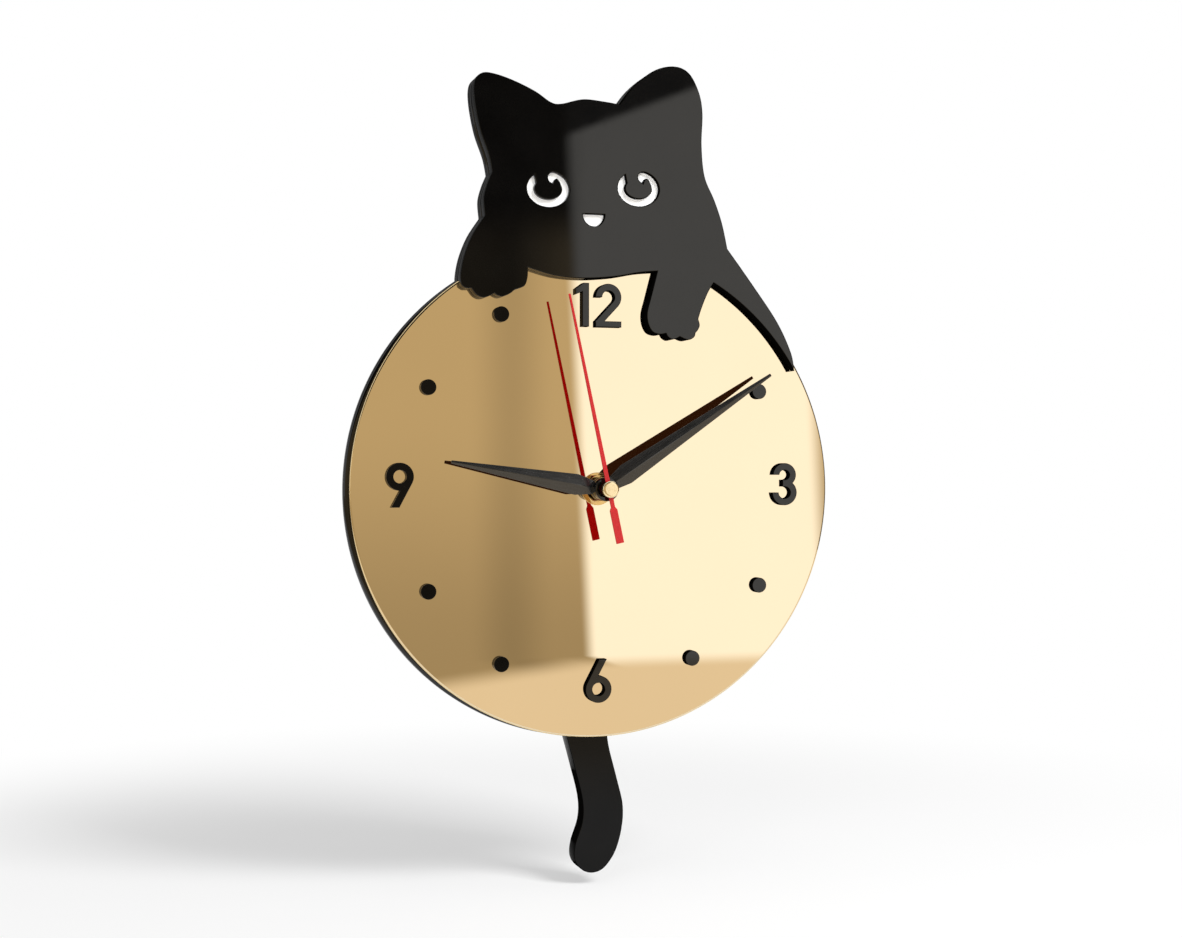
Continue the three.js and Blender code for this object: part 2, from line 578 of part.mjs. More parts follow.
// Fills the dial's level behind the head, round the dial's rim and the white inlay
function headSpacer() {
  const outline = inset(headShape().getPoints(CURVE_STEPS), SPACER_INSET);
  const [left, right, bottom, top] = INLAY_BOX;
  const window = rectangle(left - CLEARANCE, right + CLEARANCE, bottom - CLEARANCE, top + CLEARANCE);
  return cut(
    plate(new THREE.Shape(outline), DIAL_REAR, DIAL_FRONT),
    rod(DIAL_RADIUS + CLEARANCE, DIAL_REAR - OVERCUT, DIAL_FRONT + OVERCUT, DIAL_SIDES),
    plate(window, DIAL_REAR - OVERCUT, DIAL_FRONT + OVERCUT),
  );
}

function backPlate() {
  const whole = joined(
    rod(DIAL_RADIUS - BACK_INSET, BACK_REAR, BACK_FRONT, DIAL_SIDES, -BACK_OFFSET, -BACK_DROP),
    plate(headShape(), BACK_REAR, BACK_FRONT),
  );
  return cut(whole, rod(BUSH_HOLE, BACK_REAR - OVERCUT, BACK_FRONT + OVERCUT, HUB_SIDES));
}

function dialPlate() {
  const shape = new THREE.Shape(polygon(DIAL_SIDES, DIAL_RADIUS));
  shape.holes.push(new THREE.Path(polygon(HUB_SIDES, BUSH_HOLE)));
  return plate(shape, DIAL_REAR, DIAL_FRONT);
}

add('back_plate', backPlate(), 0x141414, 0.12, 0);
add('dial_plate', dialPlate(), 0xd9b77c, 0.1, 1);
add('head_spacer', headSpacer(), 0x101010, 0.3, 0);
add('face_backing', plate(rectangle(...INLAY_BOX), DIAL_REAR, DIAL_FRONT), 0xf2f2ee, 0.35, 0);
add('cat_plate', catPlate(), 0x0f0e0d, 0.08, 0);

// Numerals, drawn round their own middle

const RISE = NUMERAL_HEIGHT / 2;
const SIDE = NUMERAL_WIDTH / 2;
const points2 = (list) => new THREE.Shape(list.map(([x, z]) => new THREE.Vector2(x, z)));

// A curved stroke between two angles, counterclockwise from +x
function stroke(z, halfWidth, halfHeight, start, end) {
  const shape = new THREE.Shape();
  const from = THREE.MathUtils.degToRad(start);
  const to = THREE.MathUtils.degToRad(end);
  shape.absellipse(0, z, halfWidth, halfHeight, from, to, false, 0);
  shape.absellipse(0, z, halfWidth - NUMERAL_STROKE, halfHeight - NUMERAL_STROKE, to, from, true, 0);
  return shape;
}

// A straight limb that leaves the outside of a round bowl and slants down to the left to the foot line
function limb(bowlZ, bowlRadius, slant, footZ) {
  const lean = THREE.MathUtils.degToRad(slant);
  const start = [bowlRadius * Math.cos(lean), bowlZ - bowlRadius * Math.sin(lean)];
  const footX = start[0] - (start[1] - footZ) * Math.tan(lean);
  const inside = [start[0] - NUMERAL_STROKE * Math.cos(lean), start[1] + NUMERAL_STROKE * Math.sin(lean)];
  return points2([start, inside, [footX - NUMERAL_STROKE / Math.cos(lean), footZ], [footX, footZ]]);
}

function oneShapes() {
  const right = NUMERAL_ONE_WIDTH / 2;
  const stem = right - NUMERAL_STROKE;
  return [points2([
    [right, -RISE], [right, RISE], [right - ONE_FLAG, RISE], [-right, RISE - ONE_FLAG],
    [-right, RISE - 2 * ONE_FLAG], [stem, RISE - 1.5 * ONE_FLAG], [stem, -RISE],
  ])];
}

function twoShapes() {
  const bowlZ = RISE - SIDE;
  return [
    stroke(bowlZ, SIDE, SIDE, -TWO_SLANT, 180),
    limb(bowlZ, SIDE, TWO_SLANT, -RISE + TWO_BASE - TAPE),
    rectangle(-SIDE, SIDE, -RISE, -RISE + TWO_BASE),
  ];
}

function threeShapes() {
  const upper = RISE - THREE_LOWER_HALF + NUMERAL_STROKE / 2;
  const waist = RISE - 2 * upper;
  return [
    stroke(RISE - upper, SIDE - THREE_STEP, upper, -90, 180),
    stroke(THREE_LOWER_HALF - RISE, SIDE, THREE_LOWER_HALF, -180, 90),
    rectangle(-THREE_STUB, SIDE / 2, waist, waist + NUMERAL_STROKE),
  ];
}

function nineShapes() {
  const bowlZ = RISE - SIDE;
  const bowl = new THREE.Shape(polygon(HUB_SIDES, SIDE, 0, bowlZ));
  bowl.holes.push(new THREE.Path(polygon(HUB_SIDES, SIDE - NUMERAL_STROKE, 0, bowlZ)));
  return [bowl, limb(bowlZ, SIDE, NINE_SLANT, -RISE)];
}

function addNumeral(name, shapes, x, z, turn = 0) {
  const layers = shapes.map((shape) => plate(shape, APPLIED_REAR, APPLIED_REAR + NUMERAL_THICKNESS));
  add(name, joined(...layers), 0x151413, 0.25, 0, x, z, turn);
}

const TWELVE_WIDTH = NUMERAL_ONE_WIDTH + NUMERAL_SPACING + NUMERAL_WIDTH;
addNumeral('numeral_12_one', oneShapes(), (NUMERAL_ONE_WIDTH - TWELVE_WIDTH) / 2, TWELVE_TOP_Z - RISE);
addNumeral('numeral_12_two', twoShapes(), (TWELVE_WIDTH - NUMERAL_WIDTH) / 2, TWELVE_TOP_Z - RISE);
addNumeral('numeral_3', threeShapes(), NUMERAL_EDGE - SIDE, SIDE_NUMERAL_RISE);
addNumeral('numeral_6', nineShapes(), 0, RISE - NUMERAL_EDGE, 180);
addNumeral('numeral_9', nineShapes(), SIDE - NUMERAL_EDGE, SIDE_NUMERAL_RISE);

for (const hour of DOT_HOURS) {
  const at = polar(DIAL_RADIUS - DOT_INSET, 90 - 30 * Number(hour));
  const dot = rod(DOT_RADIUS, APPLIED_REAR, APPLIED_REAR + NUMERAL_THICKNESS, HUB_SIDES);
  add(`hour_dot_${hour}`, dot, 0x151413, 0.25, 0, at.x, at.y);
}

// Hands, pointing at twelve before they are turned

// A blade with a ridge down its middle and flat slopes to both edges
function blade(length, rear) {
  const stations = [
    [BLADE_ROOT_AT, BLADE_ROOT_HALF_WIDTH],
    [BLADE_WIDEST_AT, BLADE_HALF_WIDTH],
    [length, BLADE_TIP_HALF_WIDTH],
  ];
  const points = [];
  for (const [z, half] of stations) {
    for (const x of [-half, half]) {
      points.push(new THREE.Vector3(x, -rear, z), new THREE.Vector3(x, -rear - BLADE_EDGE, z));
    }
    points.push(new THREE.Vector3(0, -rear - BLADE_EDGE - BLADE_RIDGE_SLOPE * half, z));
  }
  return new ConvexGeometry(points);
}

function bladedHand(length, rear, hubFront, pipeRadius) {
  const hubRear = rear - HAND_HUB_BEHIND;
  return cut(
    joined(rod(HAND_HUB_RADIUS, hubRear, hubFront, HUB_SIDES), blade(length, rear)),
    rod(pipeRadius + TAPE, hubRear - OVERCUT, hubFront + OVERCUT, HUB_SIDES),
  );
}

function secondHand() {
  const right = [
    [SECOND_WEIGHT_HALF_WIDTH, -SECOND_TAIL_LENGTH],
    [SECOND_WEIGHT_HALF_WIDTH, -SECOND_NECK_LENGTH - SECOND_SHOULDER],
    [SECOND_NECK_HALF_WIDTH, -SECOND_NECK_LENGTH],
    [SECOND_ROOT_HALF_WIDTH, 0],
    [SECOND_TIP_HALF_WIDTH, SECOND_HAND_LENGTH],
  ];
  const left = right.map(([x, z]) => [-x, z]).reverse();
  const outline = points2([...right, ...left]);
  const front = SECOND_BLADE_REAR + SECOND_HAND_THICKNESS;
  return cut(
    joined(
      plate(outline, SECOND_BLADE_REAR, front),
      rod(SECOND_HUB_RADIUS, SECOND_BLADE_REAR, front, HUB_SIDES),
    ),
    rod(CAP_SLEEVE_RADIUS + TAPE, SECOND_BLADE_REAR - OVERCUT, front + OVERCUT, HUB_SIDES),
  );
}

function secondHandCap() {
  const sleeveRear = CAP_REAR - CAP_SLEEVE_LENGTH;
  const bevel = CAP_HEIGHT / 5;
  return turned([
    [0, CAP_FRONT], [CAP_RADIUS - bevel, CAP_FRONT], [CAP_RADIUS, CAP_FRONT - bevel], [CAP_RADIUS, CAP_REAR],
    [CAP_SLEEVE_RADIUS, CAP_REAR], [CAP_SLEEVE_RADIUS, sleeveRear], [CAP_BORE, sleeveRear],
    [CAP_BORE, CAP_REAR + TAPE], [0, CAP_REAR + TAPE],
  ]);
}

const hourHand = bladedHand(HOUR_HAND_LENGTH, HOUR_BLADE_REAR, HOUR_HUB_END, HOUR_PIPE_RADIUS);
const minuteHand = bladedHand(MINUTE_HAND_LENGTH, MINUTE_BLADE_REAR, MINUTE_HUB_END, MINUTE_PIPE_RADIUS);
add('hour_hand', hourHand, 0x1c1b1a, 0.35, 0.2, 0, 0, HOUR_HAND_ANGLE);
add('minute_hand', minuteHand, 0x1c1b1a, 0.35, 0.2, 0, 0, MINUTE_HAND_ANGLE);
add('second_hand', secondHand(), 0xc8202a, 0.3, 0, 0, 0, SECOND_HAND_ANGLE);
add('second_hand_cap', secondHandCap(), 0xc9a15a, 0.25, 1);

// Bush, washer and nut that clamp the dial to the movement

function threadedBush() {
  const flangeFront = CASE_INNER_FRONT - TAPE;
  const flangeRear = flangeFront - BUSH_FLANGE_THICKNESS;
  return turned([
    [BUSH_BORE, BUSH_FRONT], [BUSH_RADIUS, BUSH_FRONT], [BUSH_RADIUS, flangeFront],
    [BUSH_FLANGE_RADIUS, flangeFront], [BUSH_FLANGE_RADIUS, flangeRear], [BUSH_BORE, flangeRear],
    [BUSH_BORE, BUSH_FRONT],
  ]);
}

function fixingNut() {
  const shape = new THREE.Shape(polygon(6, NUT_CORNER_RADIUS));
  shape.holes.push(new THREE.Path(polygon(HUB_SIDES, BUSH_RADIUS + TAPE)));
  return plate(shape, WASHER_FRONT, NUT_FRONT);
}

function movementGasket() {
  const shape = rectangle(-GASKET_HALF_WIDTH, GASKET_HALF_WIDTH, -GASKET_HALF_WIDTH, GASKET_HALF_WIDTH);
  shape.holes.push(new THREE.Path(polygon(HUB_SIDES, BUSH_HOLE)));
  return plate(shape, CASE_FRONT, BACK_REAR);
}

add('threaded_bush', threadedBush(), 0xc9a15a, 0.35, 1);
add('fixing_washer', ring(WASHER_RADIUS, BUSH_HOLE, DIAL_FRONT, WASHER_FRONT), 0xc9a15a, 0.35, 1);
add('fixing_nut', fixingNut(), 0xc9a15a, 0.3, 1);
add('movement_gasket', movementGasket(), 0x202020, 0.9, 0);

// Gear train. A meshing pair is drawn with a tooth of the first in a gap of the second.

function gearShape(teeth, size, toothAngle) {
  const pitch = (2 * Math.PI) / teeth;
  const root = size * (teeth / 2 - DEDENDUM);
  const tip = size * (teeth / 2 + ADDENDUM);
  const corners = [[root, -0.5], [tip, -TOOTH_TIP_SHARE], [tip, TOOTH_TIP_SHARE]];
  const points = [];
  for (let i = 0; i < teeth; i += 1) {
    for (const [radius, share] of corners) {
      const angle = toothAngle + (i + share) * pitch;
      points.push(new THREE.Vector2(radius * Math.cos(angle), radius * Math.sin(angle)));
    }
  }
  return new THREE.Shape(points);
}

// The gear from which the meshing angle is measured has a tooth there, and its mate a gap
const driverGear = (teeth, size, degrees) => gearShape(teeth, size, THREE.MathUtils.degToRad(degrees));
const mateGear = (teeth, size, degrees) => gearShape(
  teeth,
  size,
  THREE.MathUtils.degToRad(degrees) + Math.PI + Math.PI / teeth,
);
const wheel = (shape, level) => plate(shape, level - WHEEL_THICKNESS / 2, level + WHEEL_THICKNESS / 2);
const pinion = (shape, level) => plate(shape, level - PINION_THICKNESS / 2, level + PINION_THICKNESS / 2);
const ARBOR_REAR = BEARING_REAR + CLEARANCE;
const ARBOR_FRONT = CASE_INNER_FRONT + PIVOT_DEPTH;

function pierced(shape, radius) {
  shape.holes.push(new THREE.Path(polygon(SHAFT_SIDES, radius)));
  return shape;
}

function secondsWheel() {
  return joined(
    rod(SECONDS_ARBOR_RADIUS, ARBOR_REAR, CAP_REAR),
    wheel(driverGear(SECONDS_WHEEL_TEETH, SECONDS_MODULE, FIFTH_ANGLE), SECONDS_LEVEL),
    pinion(driverGear(SECONDS_PINION_TEETH, THIRD_MODULE, THIRD_ANGLE), THIRD_LEVEL),
  );
}

function thirdWheel() {
  return joined(
    rod(ARBOR_RADIUS, ARBOR_REAR, ARBOR_FRONT),
    wheel(mateGear(THIRD_WHEEL_TEETH, THIRD_MODULE, THIRD_ANGLE), THIRD_LEVEL),
    pinion(mateGear(THIRD_PINION_TEETH, CENTRE_MODULE, THIRD_ANGLE), CENTRE_LEVEL),
  );
}

function fifthWheel() {
  return joined(
    rod(ARBOR_RADIUS, ARBOR_REAR, ARBOR_FRONT),
    wheel(driverGear(FIFTH_WHEEL_TEETH, FIFTH_MODULE, ROTOR_ANGLE), FIFTH_LEVEL),
    pinion(mateGear(FIFTH_PINION_TEETH, SECONDS_MODULE, FIFTH_ANGLE), SECONDS_LEVEL),
  );
}

function rotor() {
  return joined(
    rod(ARBOR_RADIUS, ARBOR_REAR, ARBOR_FRONT),
    pinion(mateGear(ROTOR_PINION_TEETH, FIFTH_MODULE, ROTOR_ANGLE), FIFTH_LEVEL),
    rod(ROTOR_MAGNET_RADIUS, STATOR_REAR - CLEARANCE, STATOR_FRONT + CLEARANCE, HUB_SIDES),
  );
}

// The centre wheel drives the minute arbor by friction, so the hands can be set
function centreWheel() {
  const shape = driverGear(CENTRE_WHEEL_TEETH, CENTRE_MODULE, THIRD_ANGLE);
  return wheel(pierced(shape, MINUTE_PIPE_RADIUS + TAPE), CENTRE_LEVEL);
}

function minuteArbor() {
  const rear = CENTRE_LEVEL - WHEEL_THICKNESS / 2 - TAPE;
  const collarRear = THIRD_LEVEL + PINION_THICKNESS / 2 + TAPE;
  const shape = driverGear(CANNON_PINION_TEETH, MOTION_MODULE, MOTION_ANGLE);
  return joined(
    ring(MINUTE_PIPE_RADIUS, MINUTE_BORE, collarRear, MINUTE_HUB_END, SHAFT_SIDES),
    ring(MINUTE_PIPE_RADIUS + MINUTE_PIPE_WALL, MINUTE_BORE, collarRear, rear, SHAFT_SIDES),
    pinion(pierced(shape, MINUTE_BORE), MOTION_LEVEL),
  );
}

function motionWheel() {
  return joined(
    rod(MOTION_ARBOR_RADIUS, KNOB_RECESS + KNOB_THICKNESS / 2 + TAPE, ARBOR_FRONT),
    wheel(mateGear(MOTION_WHEEL_TEETH, MOTION_MODULE, MOTION_ANGLE), MOTION_LEVEL),
    pinion(mateGear(MOTION_PINION_TEETH, HOUR_MODULE, MOTION_ANGLE), HOUR_LEVEL),
  );
}

function hourWheel() {
  const shape = driverGear(HOUR_WHEEL_TEETH, HOUR_MODULE, MOTION_ANGLE);
  const rear = HOUR_LEVEL - WHEEL_THICKNESS / 2;
  return joined(
    ring(HOUR_PIPE_RADIUS, HOUR_BORE, rear, HOUR_HUB_END, SHAFT_SIDES),
    wheel(pierced(shape, HOUR_BORE), HOUR_LEVEL),
  );
}

add('seconds_wheel', secondsWheel(), 0xe8e4d8, 0.5, 0);
add('third_wheel', thirdWheel(), 0xe8e4d8, 0.5, 0, THIRD_AT.x, THIRD_AT.y);
add('fifth_wheel', fifthWheel(), 0xe8e4d8, 0.5, 0, FIFTH_AT.x, FIFTH_AT.y);
add('rotor', rotor(), 0x55524e, 0.5, 0.3, ROTOR_AT.x, ROTOR_AT.y);
add('centre_wheel', centreWheel(), 0xe8e4d8, 0.5, 0);
add('minute_arbor', minuteArbor(), 0xc9a15a, 0.35, 1);
add('motion_wheel', motionWheel(), 0xe8e4d8, 0.5, 0, MOTION_AT.x, MOTION_AT.y);
add('hour_wheel', hourWheel(), 0xe8e4d8, 0.5, 0);

function settingKnob() {
  const points = [];
  for (let i = 0; i < 2 * KNOB_FLUTES; i += 1) {
    const radius = KNOB_RADIUS - (i % 2) * KNOB_FLUTE_DEPTH;
    points.push(new THREE.Vector2(radius, 0).rotateAround(new THREE.Vector2(), (Math.PI * i) / KNOB_FLUTES));
  }
  const front = KNOB_RECESS + KNOB_THICKNESS;
  return cut(
    joined(
      plate(new THREE.Shape(points), KNOB_RECESS, front),
      rod(KNOB_HUB_RADIUS, KNOB_RECESS, BEARING_REAR - CLEARANCE, HUB_SIDES),
    ),
    rod(MOTION_ARBOR_RADIUS + TAPE, KNOB_RECESS + KNOB_THICKNESS / 2, BEARING_REAR + OVERCUT),
  );
}

add('setting_knob', settingKnob(), 0x2a2a2a, 0.5, 0, MOTION_AT.x, MOTION_AT.y);

// Movement housing

const ARBOR_PLACES = [
  [THIRD_AT, ARBOR_RADIUS],
  [FIFTH_AT, ARBOR_RADIUS],
  [ROTOR_AT, ARBOR_RADIUS],
  [MOTION_AT, MOTION_ARBOR_RADIUS],
];
const TRAIN_POSTS = [-1, 1].flatMap((side) => [1, -1].map((end) => [side * POST_X, end * POST_TOP_Z]));
const COVER_SCREWS = [-1, 1].flatMap((side) => [POST_TOP_Z, POST_BOTTOM_Z].map((z) => [side * POST_X, z]));
const CORE_ENDS = [[CORE_LEFT_X, COIL_Z], [CORE_RIGHT_X, COIL_Z]];
const PIN_FRONT = CASE_INNER_FRONT - TAPE;
const PIN_REAR = COVER_THICKNESS + TAPE;

function leverSlot() {
  const swing = THREE.MathUtils.degToRad(PENDULUM_SWING);
  const reach = (PIVOT_Z - CASE_BOTTOM) * Math.tan(swing);
  const half = reach + LEVER_HALF_WIDTH / Math.cos(swing) + 2 * CLEARANCE;
  return block(
    -half, half, LEVER_REAR - 2 * CLEARANCE, LEVER_FRONT + 2 * CLEARANCE,
    CASE_BOTTOM - OVERCUT, PENDULUM_ROOM_BOTTOM + OVERCUT,
  );
}

function movementCase() {
  const rooms = [
    [-TRAIN_HALF_HEIGHT, TRAIN_HALF_HEIGHT],
    [CELL_ROOM_BOTTOM, CELL_ROOM_TOP],
    [PENDULUM_ROOM_BOTTOM, PENDULUM_ROOM_TOP],
  ].map(([bottom, top]) => block(
    -CASE_INNER_HALF_WIDTH, CASE_INNER_HALF_WIDTH, CASE_REAR - OVERCUT, CASE_INNER_FRONT, bottom, top,
  ));
  const shell = cut(
    block(-CASE_HALF_WIDTH, CASE_HALF_WIDTH, CASE_REAR, CASE_FRONT, CASE_BOTTOM, CASE_TOP),
    ...rooms,
    leverSlot(),
    rod(BUSH_HOLE, CASE_INNER_FRONT - OVERCUT, CASE_FRONT + OVERCUT, HUB_SIDES),
  );
  const rooted = CASE_INNER_FRONT + CASE_WALL / 2;
  const posts = [
    ...TRAIN_POSTS.map(([x, z]) => rod(POST_RADIUS, BEARING_FRONT + TAPE, rooted, SHAFT_SIDES, x, z)),
    ...COVER_SCREWS.filter(([, z]) => z < 0)
      .map(([x, z]) => rod(POST_RADIUS, CASE_REAR, rooted, SHAFT_SIDES, x, z)),
    ...ARBOR_PLACES.map(([at]) => (
      rod(BOSS_RADIUS, CASE_INNER_FRONT - BOSS_HEIGHT, rooted, SHAFT_SIDES, at.x, at.y)
    )),
    ...CORE_ENDS.map(([x, z]) => rod(CORE_WIDTH / 2, CORE_FRONT + TAPE, rooted, SHAFT_SIDES, x, z)),
    rod(LEVER_EYE_RADIUS - CLEARANCE, LEVER_FRONT + CLEARANCE, rooted, SHAFT_SIDES, 0, PIVOT_Z),
  ];
  const holes = [
    ...COVER_SCREWS.map(([x, z]) => rod(
      SCREW_RADIUS + TAPE, CASE_REAR - OVERCUT, COVER_THICKNESS + SCREW_LENGTH + CLEARANCE, SHAFT_SIDES, x, z,
    )),
    ...ARBOR_PLACES.map(([at, radius]) => rod(
      radius + RUNNING, CASE_INNER_FRONT - BOSS_HEIGHT - OVERCUT, ARBOR_FRONT + TAPE, SHAFT_SIDES, at.x, at.y,
    )),
    rod(PIN_RADIUS + TAPE, LEVER_FRONT, PIN_FRONT + TAPE, SHAFT_SIDES, 0, PIVOT_Z),
    ...HANGER_SCREWS.map((x) => (
      verticalRod(SCREW_RADIUS + TAPE, x, TRAIN_HALF_HEIGHT - OVERCUT, CASE_TOP + OVERCUT)
    )),
  ];
  return cut(joined(shell, ...posts), ...holes);
}

function rearCover() {
  const sheet = block(-CASE_HALF_WIDTH, CASE_HALF_WIDTH, 0, COVER_THICKNESS, CASE_BOTTOM, CASE_TOP);
  const standoffs = TRAIN_POSTS.map(([x, z]) => (
    rod(POST_RADIUS, COVER_THICKNESS / 2, BEARING_REAR - TAPE, SHAFT_SIDES, x, z)
  ));
  const pinBoss = rod(
    LEVER_EYE_RADIUS - CLEARANCE, COVER_THICKNESS / 2, LEVER_REAR - CLEARANCE, SHAFT_SIDES, 0, PIVOT_Z,
  );
  const opening = block(
    -CELL_LENGTH / 2, CELL_LENGTH / 2, -OVERCUT, COVER_THICKNESS + OVERCUT,
    CELL_ROOM_BOTTOM + CLEARANCE, CELL_ROOM_TOP - CLEARANCE,
  );
  const screwHoles = COVER_SCREWS.flatMap(([x, z]) => [
    rod(SCREW_HEAD_RADIUS + TAPE, -OVERCUT, SCREW_HEAD_HEIGHT, SHAFT_SIDES, x, z),
    rod(SCREW_RADIUS + TAPE, 0, BEARING_FRONT, SHAFT_SIDES, x, z),
  ]);
  return cut(
    joined(sheet, ...standoffs, pinBoss),
    opening,
    ...screwHoles,
    rod(KNOB_RADIUS + 2 * CLEARANCE, -OVERCUT, COVER_THICKNESS + OVERCUT, HUB_SIDES, MOTION_AT.x, MOTION_AT.y),
    rod(PIN_RADIUS + TAPE, PIN_REAR - TAPE, LEVER_REAR, SHAFT_SIDES, 0, PIVOT_Z),
  );
}

function bearingPlate() {
  const halfWidth = CASE_INNER_HALF_WIDTH - CLEARANCE;
  const halfHeight = TRAIN_HALF_HEIGHT - CLEARANCE;
  const sheet = block(-halfWidth, halfWidth, BEARING_REAR, BEARING_FRONT, -halfHeight, halfHeight);
  const pillars = CORE_ENDS.map(([x, z]) => (
    rod(CORE_WIDTH / 2, BEARING_FRONT - BEARING_THICKNESS / 2, STATOR_REAR - TAPE, SHAFT_SIDES, x, z)
  ));
  const bearings = [...ARBOR_PLACES, [new THREE.Vector2(), SECONDS_ARBOR_RADIUS]].map(([at, radius]) => (
    rod(radius + RUNNING, BEARING_REAR - OVERCUT, BEARING_FRONT + OVERCUT, SHAFT_SIDES, at.x, at.y)
  ));
  const screwHoles = TRAIN_POSTS.filter(([, z]) => z > 0).map(([x, z]) => (
    rod(SCREW_RADIUS + TAPE, BEARING_REAR - OVERCUT, BEARING_FRONT + OVERCUT, SHAFT_SIDES, x, z)
  ));
  return cut(joined(sheet, ...pillars), ...bearings, ...screwHoles);
}

// Screws lie along the dial's axis with their heads towards the wall, or stand upright on the hanger's foot
const HANGER_SCREWS = [-HANGER_SCREW_SPACING / 2, HANGER_SCREW_SPACING / 2];
const FOOT_DEPTH = HANGER_FOOT / 2 + HANGER_THICKNESS;

function verticalRod(radius, x, bottom, top) {
  return rod(radius, -top, -bottom).rotateX(Math.PI / 2).translate(x, -FOOT_DEPTH, 0);
}

function coverScrew() {
  const seat = SCREW_HEAD_HEIGHT - TAPE;
  return turned([
    [0, COVER_THICKNESS + SCREW_LENGTH], [SCREW_RADIUS, COVER_THICKNESS + SCREW_LENGTH], [SCREW_RADIUS, seat],
    [SCREW_HEAD_RADIUS, seat], [SCREW_HEAD_RADIUS, TAPE], [0, TAPE],
  ], SHAFT_SIDES);
}

add('movement_case', movementCase(), 0x1b1b1b, 0.55, 0);
add('rear_cover', rearCover(), 0x1e1e1e, 0.55, 0);
add('bearing_plate', bearingPlate(), 0xd8d4c8, 0.5, 0);
COVER_SCREWS.forEach(([x, z], i) => {
  add(`cover_screw_${i + 1}`, coverScrew(), 0x9a9a9a, 0.35, 1, x, z);
});

// Motor and circuit

function stator() {
  const shape = points2([
    [STATOR_LEFT, STATOR_BOTTOM], [STATOR_LEFT + STATOR_LEG, STATOR_BOTTOM],
    [STATOR_LEFT + STATOR_LEG, YOKE_BOTTOM], [STATOR_BLOCK_LEFT, YOKE_BOTTOM],
    [STATOR_BLOCK_LEFT, STATOR_BOTTOM], [STATOR_RIGHT, STATOR_BOTTOM], [STATOR_RIGHT, STATOR_TOP],
    [STATOR_BLOCK_LEFT, STATOR_TOP], [STATOR_BLOCK_LEFT, YOKE_BOTTOM + STATOR_LEG / 2],
    [STATOR_LEFT, YOKE_BOTTOM + STATOR_LEG / 2],
  ]);
  shape.holes.push(new THREE.Path(polygon(HUB_SIDES, ROTOR_HOLE, ROTOR_AT.x, ROTOR_AT.y)));
  return plate(shape, STATOR_REAR, STATOR_FRONT);
}

// A wound bobbin along x on a flat core, whose ends lie on the stator
function motorCoil() {
  const left = STATOR_LEFT + STATOR_LEG + CLEARANCE;
  const right = STATOR_BLOCK_LEFT - CLEARANCE;
  const wound = COIL_RADIUS - CLEARANCE;
  const bobbin = turned([
    [0, right], [COIL_RADIUS, right], [COIL_RADIUS, right - COIL_FLANGE], [wound, right - COIL_FLANGE],
    [wound, left + COIL_FLANGE], [COIL_RADIUS, left + COIL_FLANGE], [COIL_RADIUS, left], [0, left],
  ]).rotateZ(Math.PI / 2).translate(0, -COIL_DEPTH, COIL_Z);
  const core = block(
    STATOR_LEFT, STATOR_BLOCK_LEFT + STATOR_LEG, CORE_REAR, CORE_FRONT,
    COIL_Z - CORE_WIDTH / 2, COIL_Z + CORE_WIDTH / 2,
  );
  return joined(bobbin, core);
}

const BOARD_LEFT = -CASE_INNER_HALF_WIDTH + 2 * CLEARANCE;
const BOARD_REAR = BEARING_FRONT + TAPE;
const BOARD_FRONT = BOARD_REAR + BOARD_THICKNESS;
const BOARD_TOP = POST_TOP_Z - POST_RADIUS - 2 * CLEARANCE;

function quartzCrystal() {
  const x = BOARD_LEFT + BOARD_WIDTH / 2;
  const top = BOARD_TOP - CRYSTAL_LENGTH;
  const can = turned([
    [0, CRYSTAL_LENGTH], [CRYSTAL_RADIUS, CRYSTAL_LENGTH], [CRYSTAL_RADIUS, 0], [0, 0],
  ], SHAFT_SIDES);
  return can.rotateX(Math.PI / 2).translate(x, -(BOARD_FRONT + TAPE + CRYSTAL_RADIUS), top);
}

add('stator', stator(), 0x8c8c8c, 0.4, 1);
add('motor_coil', motorCoil(), 0xa0552a, 0.45, 0.6);
add(
  'circuit_board',
  block(BOARD_LEFT, BOARD_LEFT + BOARD_WIDTH, BOARD_REAR, BOARD_FRONT, BOARD_TOP - BOARD_HEIGHT, BOARD_TOP),
  0x1f5a32,
  0.5,
  0,
);
add('quartz_crystal', quartzCrystal(), 0xb8b8b8, 0.3, 1);

// Cell and its contacts

function cell() {
  const half = CELL_LENGTH / 2;
  const shoulder = half - CELL_NUB_LENGTH;
  const radius = CELL_DIAMETER / 2;
  return turned([
    [0, half], [CELL_NUB_RADIUS, half], [CELL_NUB_RADIUS, shoulder],
    [radius, shoulder], [radius, -half], [0, -half],
  ]).rotateZ(Math.PI / 2).translate(0, -CELL_DEPTH, CELL_Z);
}

function contact(side) {
  const outer = side * (CASE_INNER_HALF_WIDTH - TAPE);
  const inner = outer - side * CONTACT_THICKNESS;
  return block(
    Math.min(inner, outer), Math.max(inner, outer), CELL_DEPTH - CONTACT_HALF_WIDTH,
    CELL_DEPTH + CONTACT_HALF_WIDTH, CELL_Z - CONTACT_HALF_WIDTH, CELL_Z + CONTACT_HALF_WIDTH,
  );
}

add('battery', cell(), 0x3a6b4a, 0.4, 0.2);
add('battery_contact_positive', contact(1), 0xb8b8b8, 0.3, 1);
add('battery_contact_negative', contact(-1), 0xb8b8b8, 0.3, 1);

// Pendulum

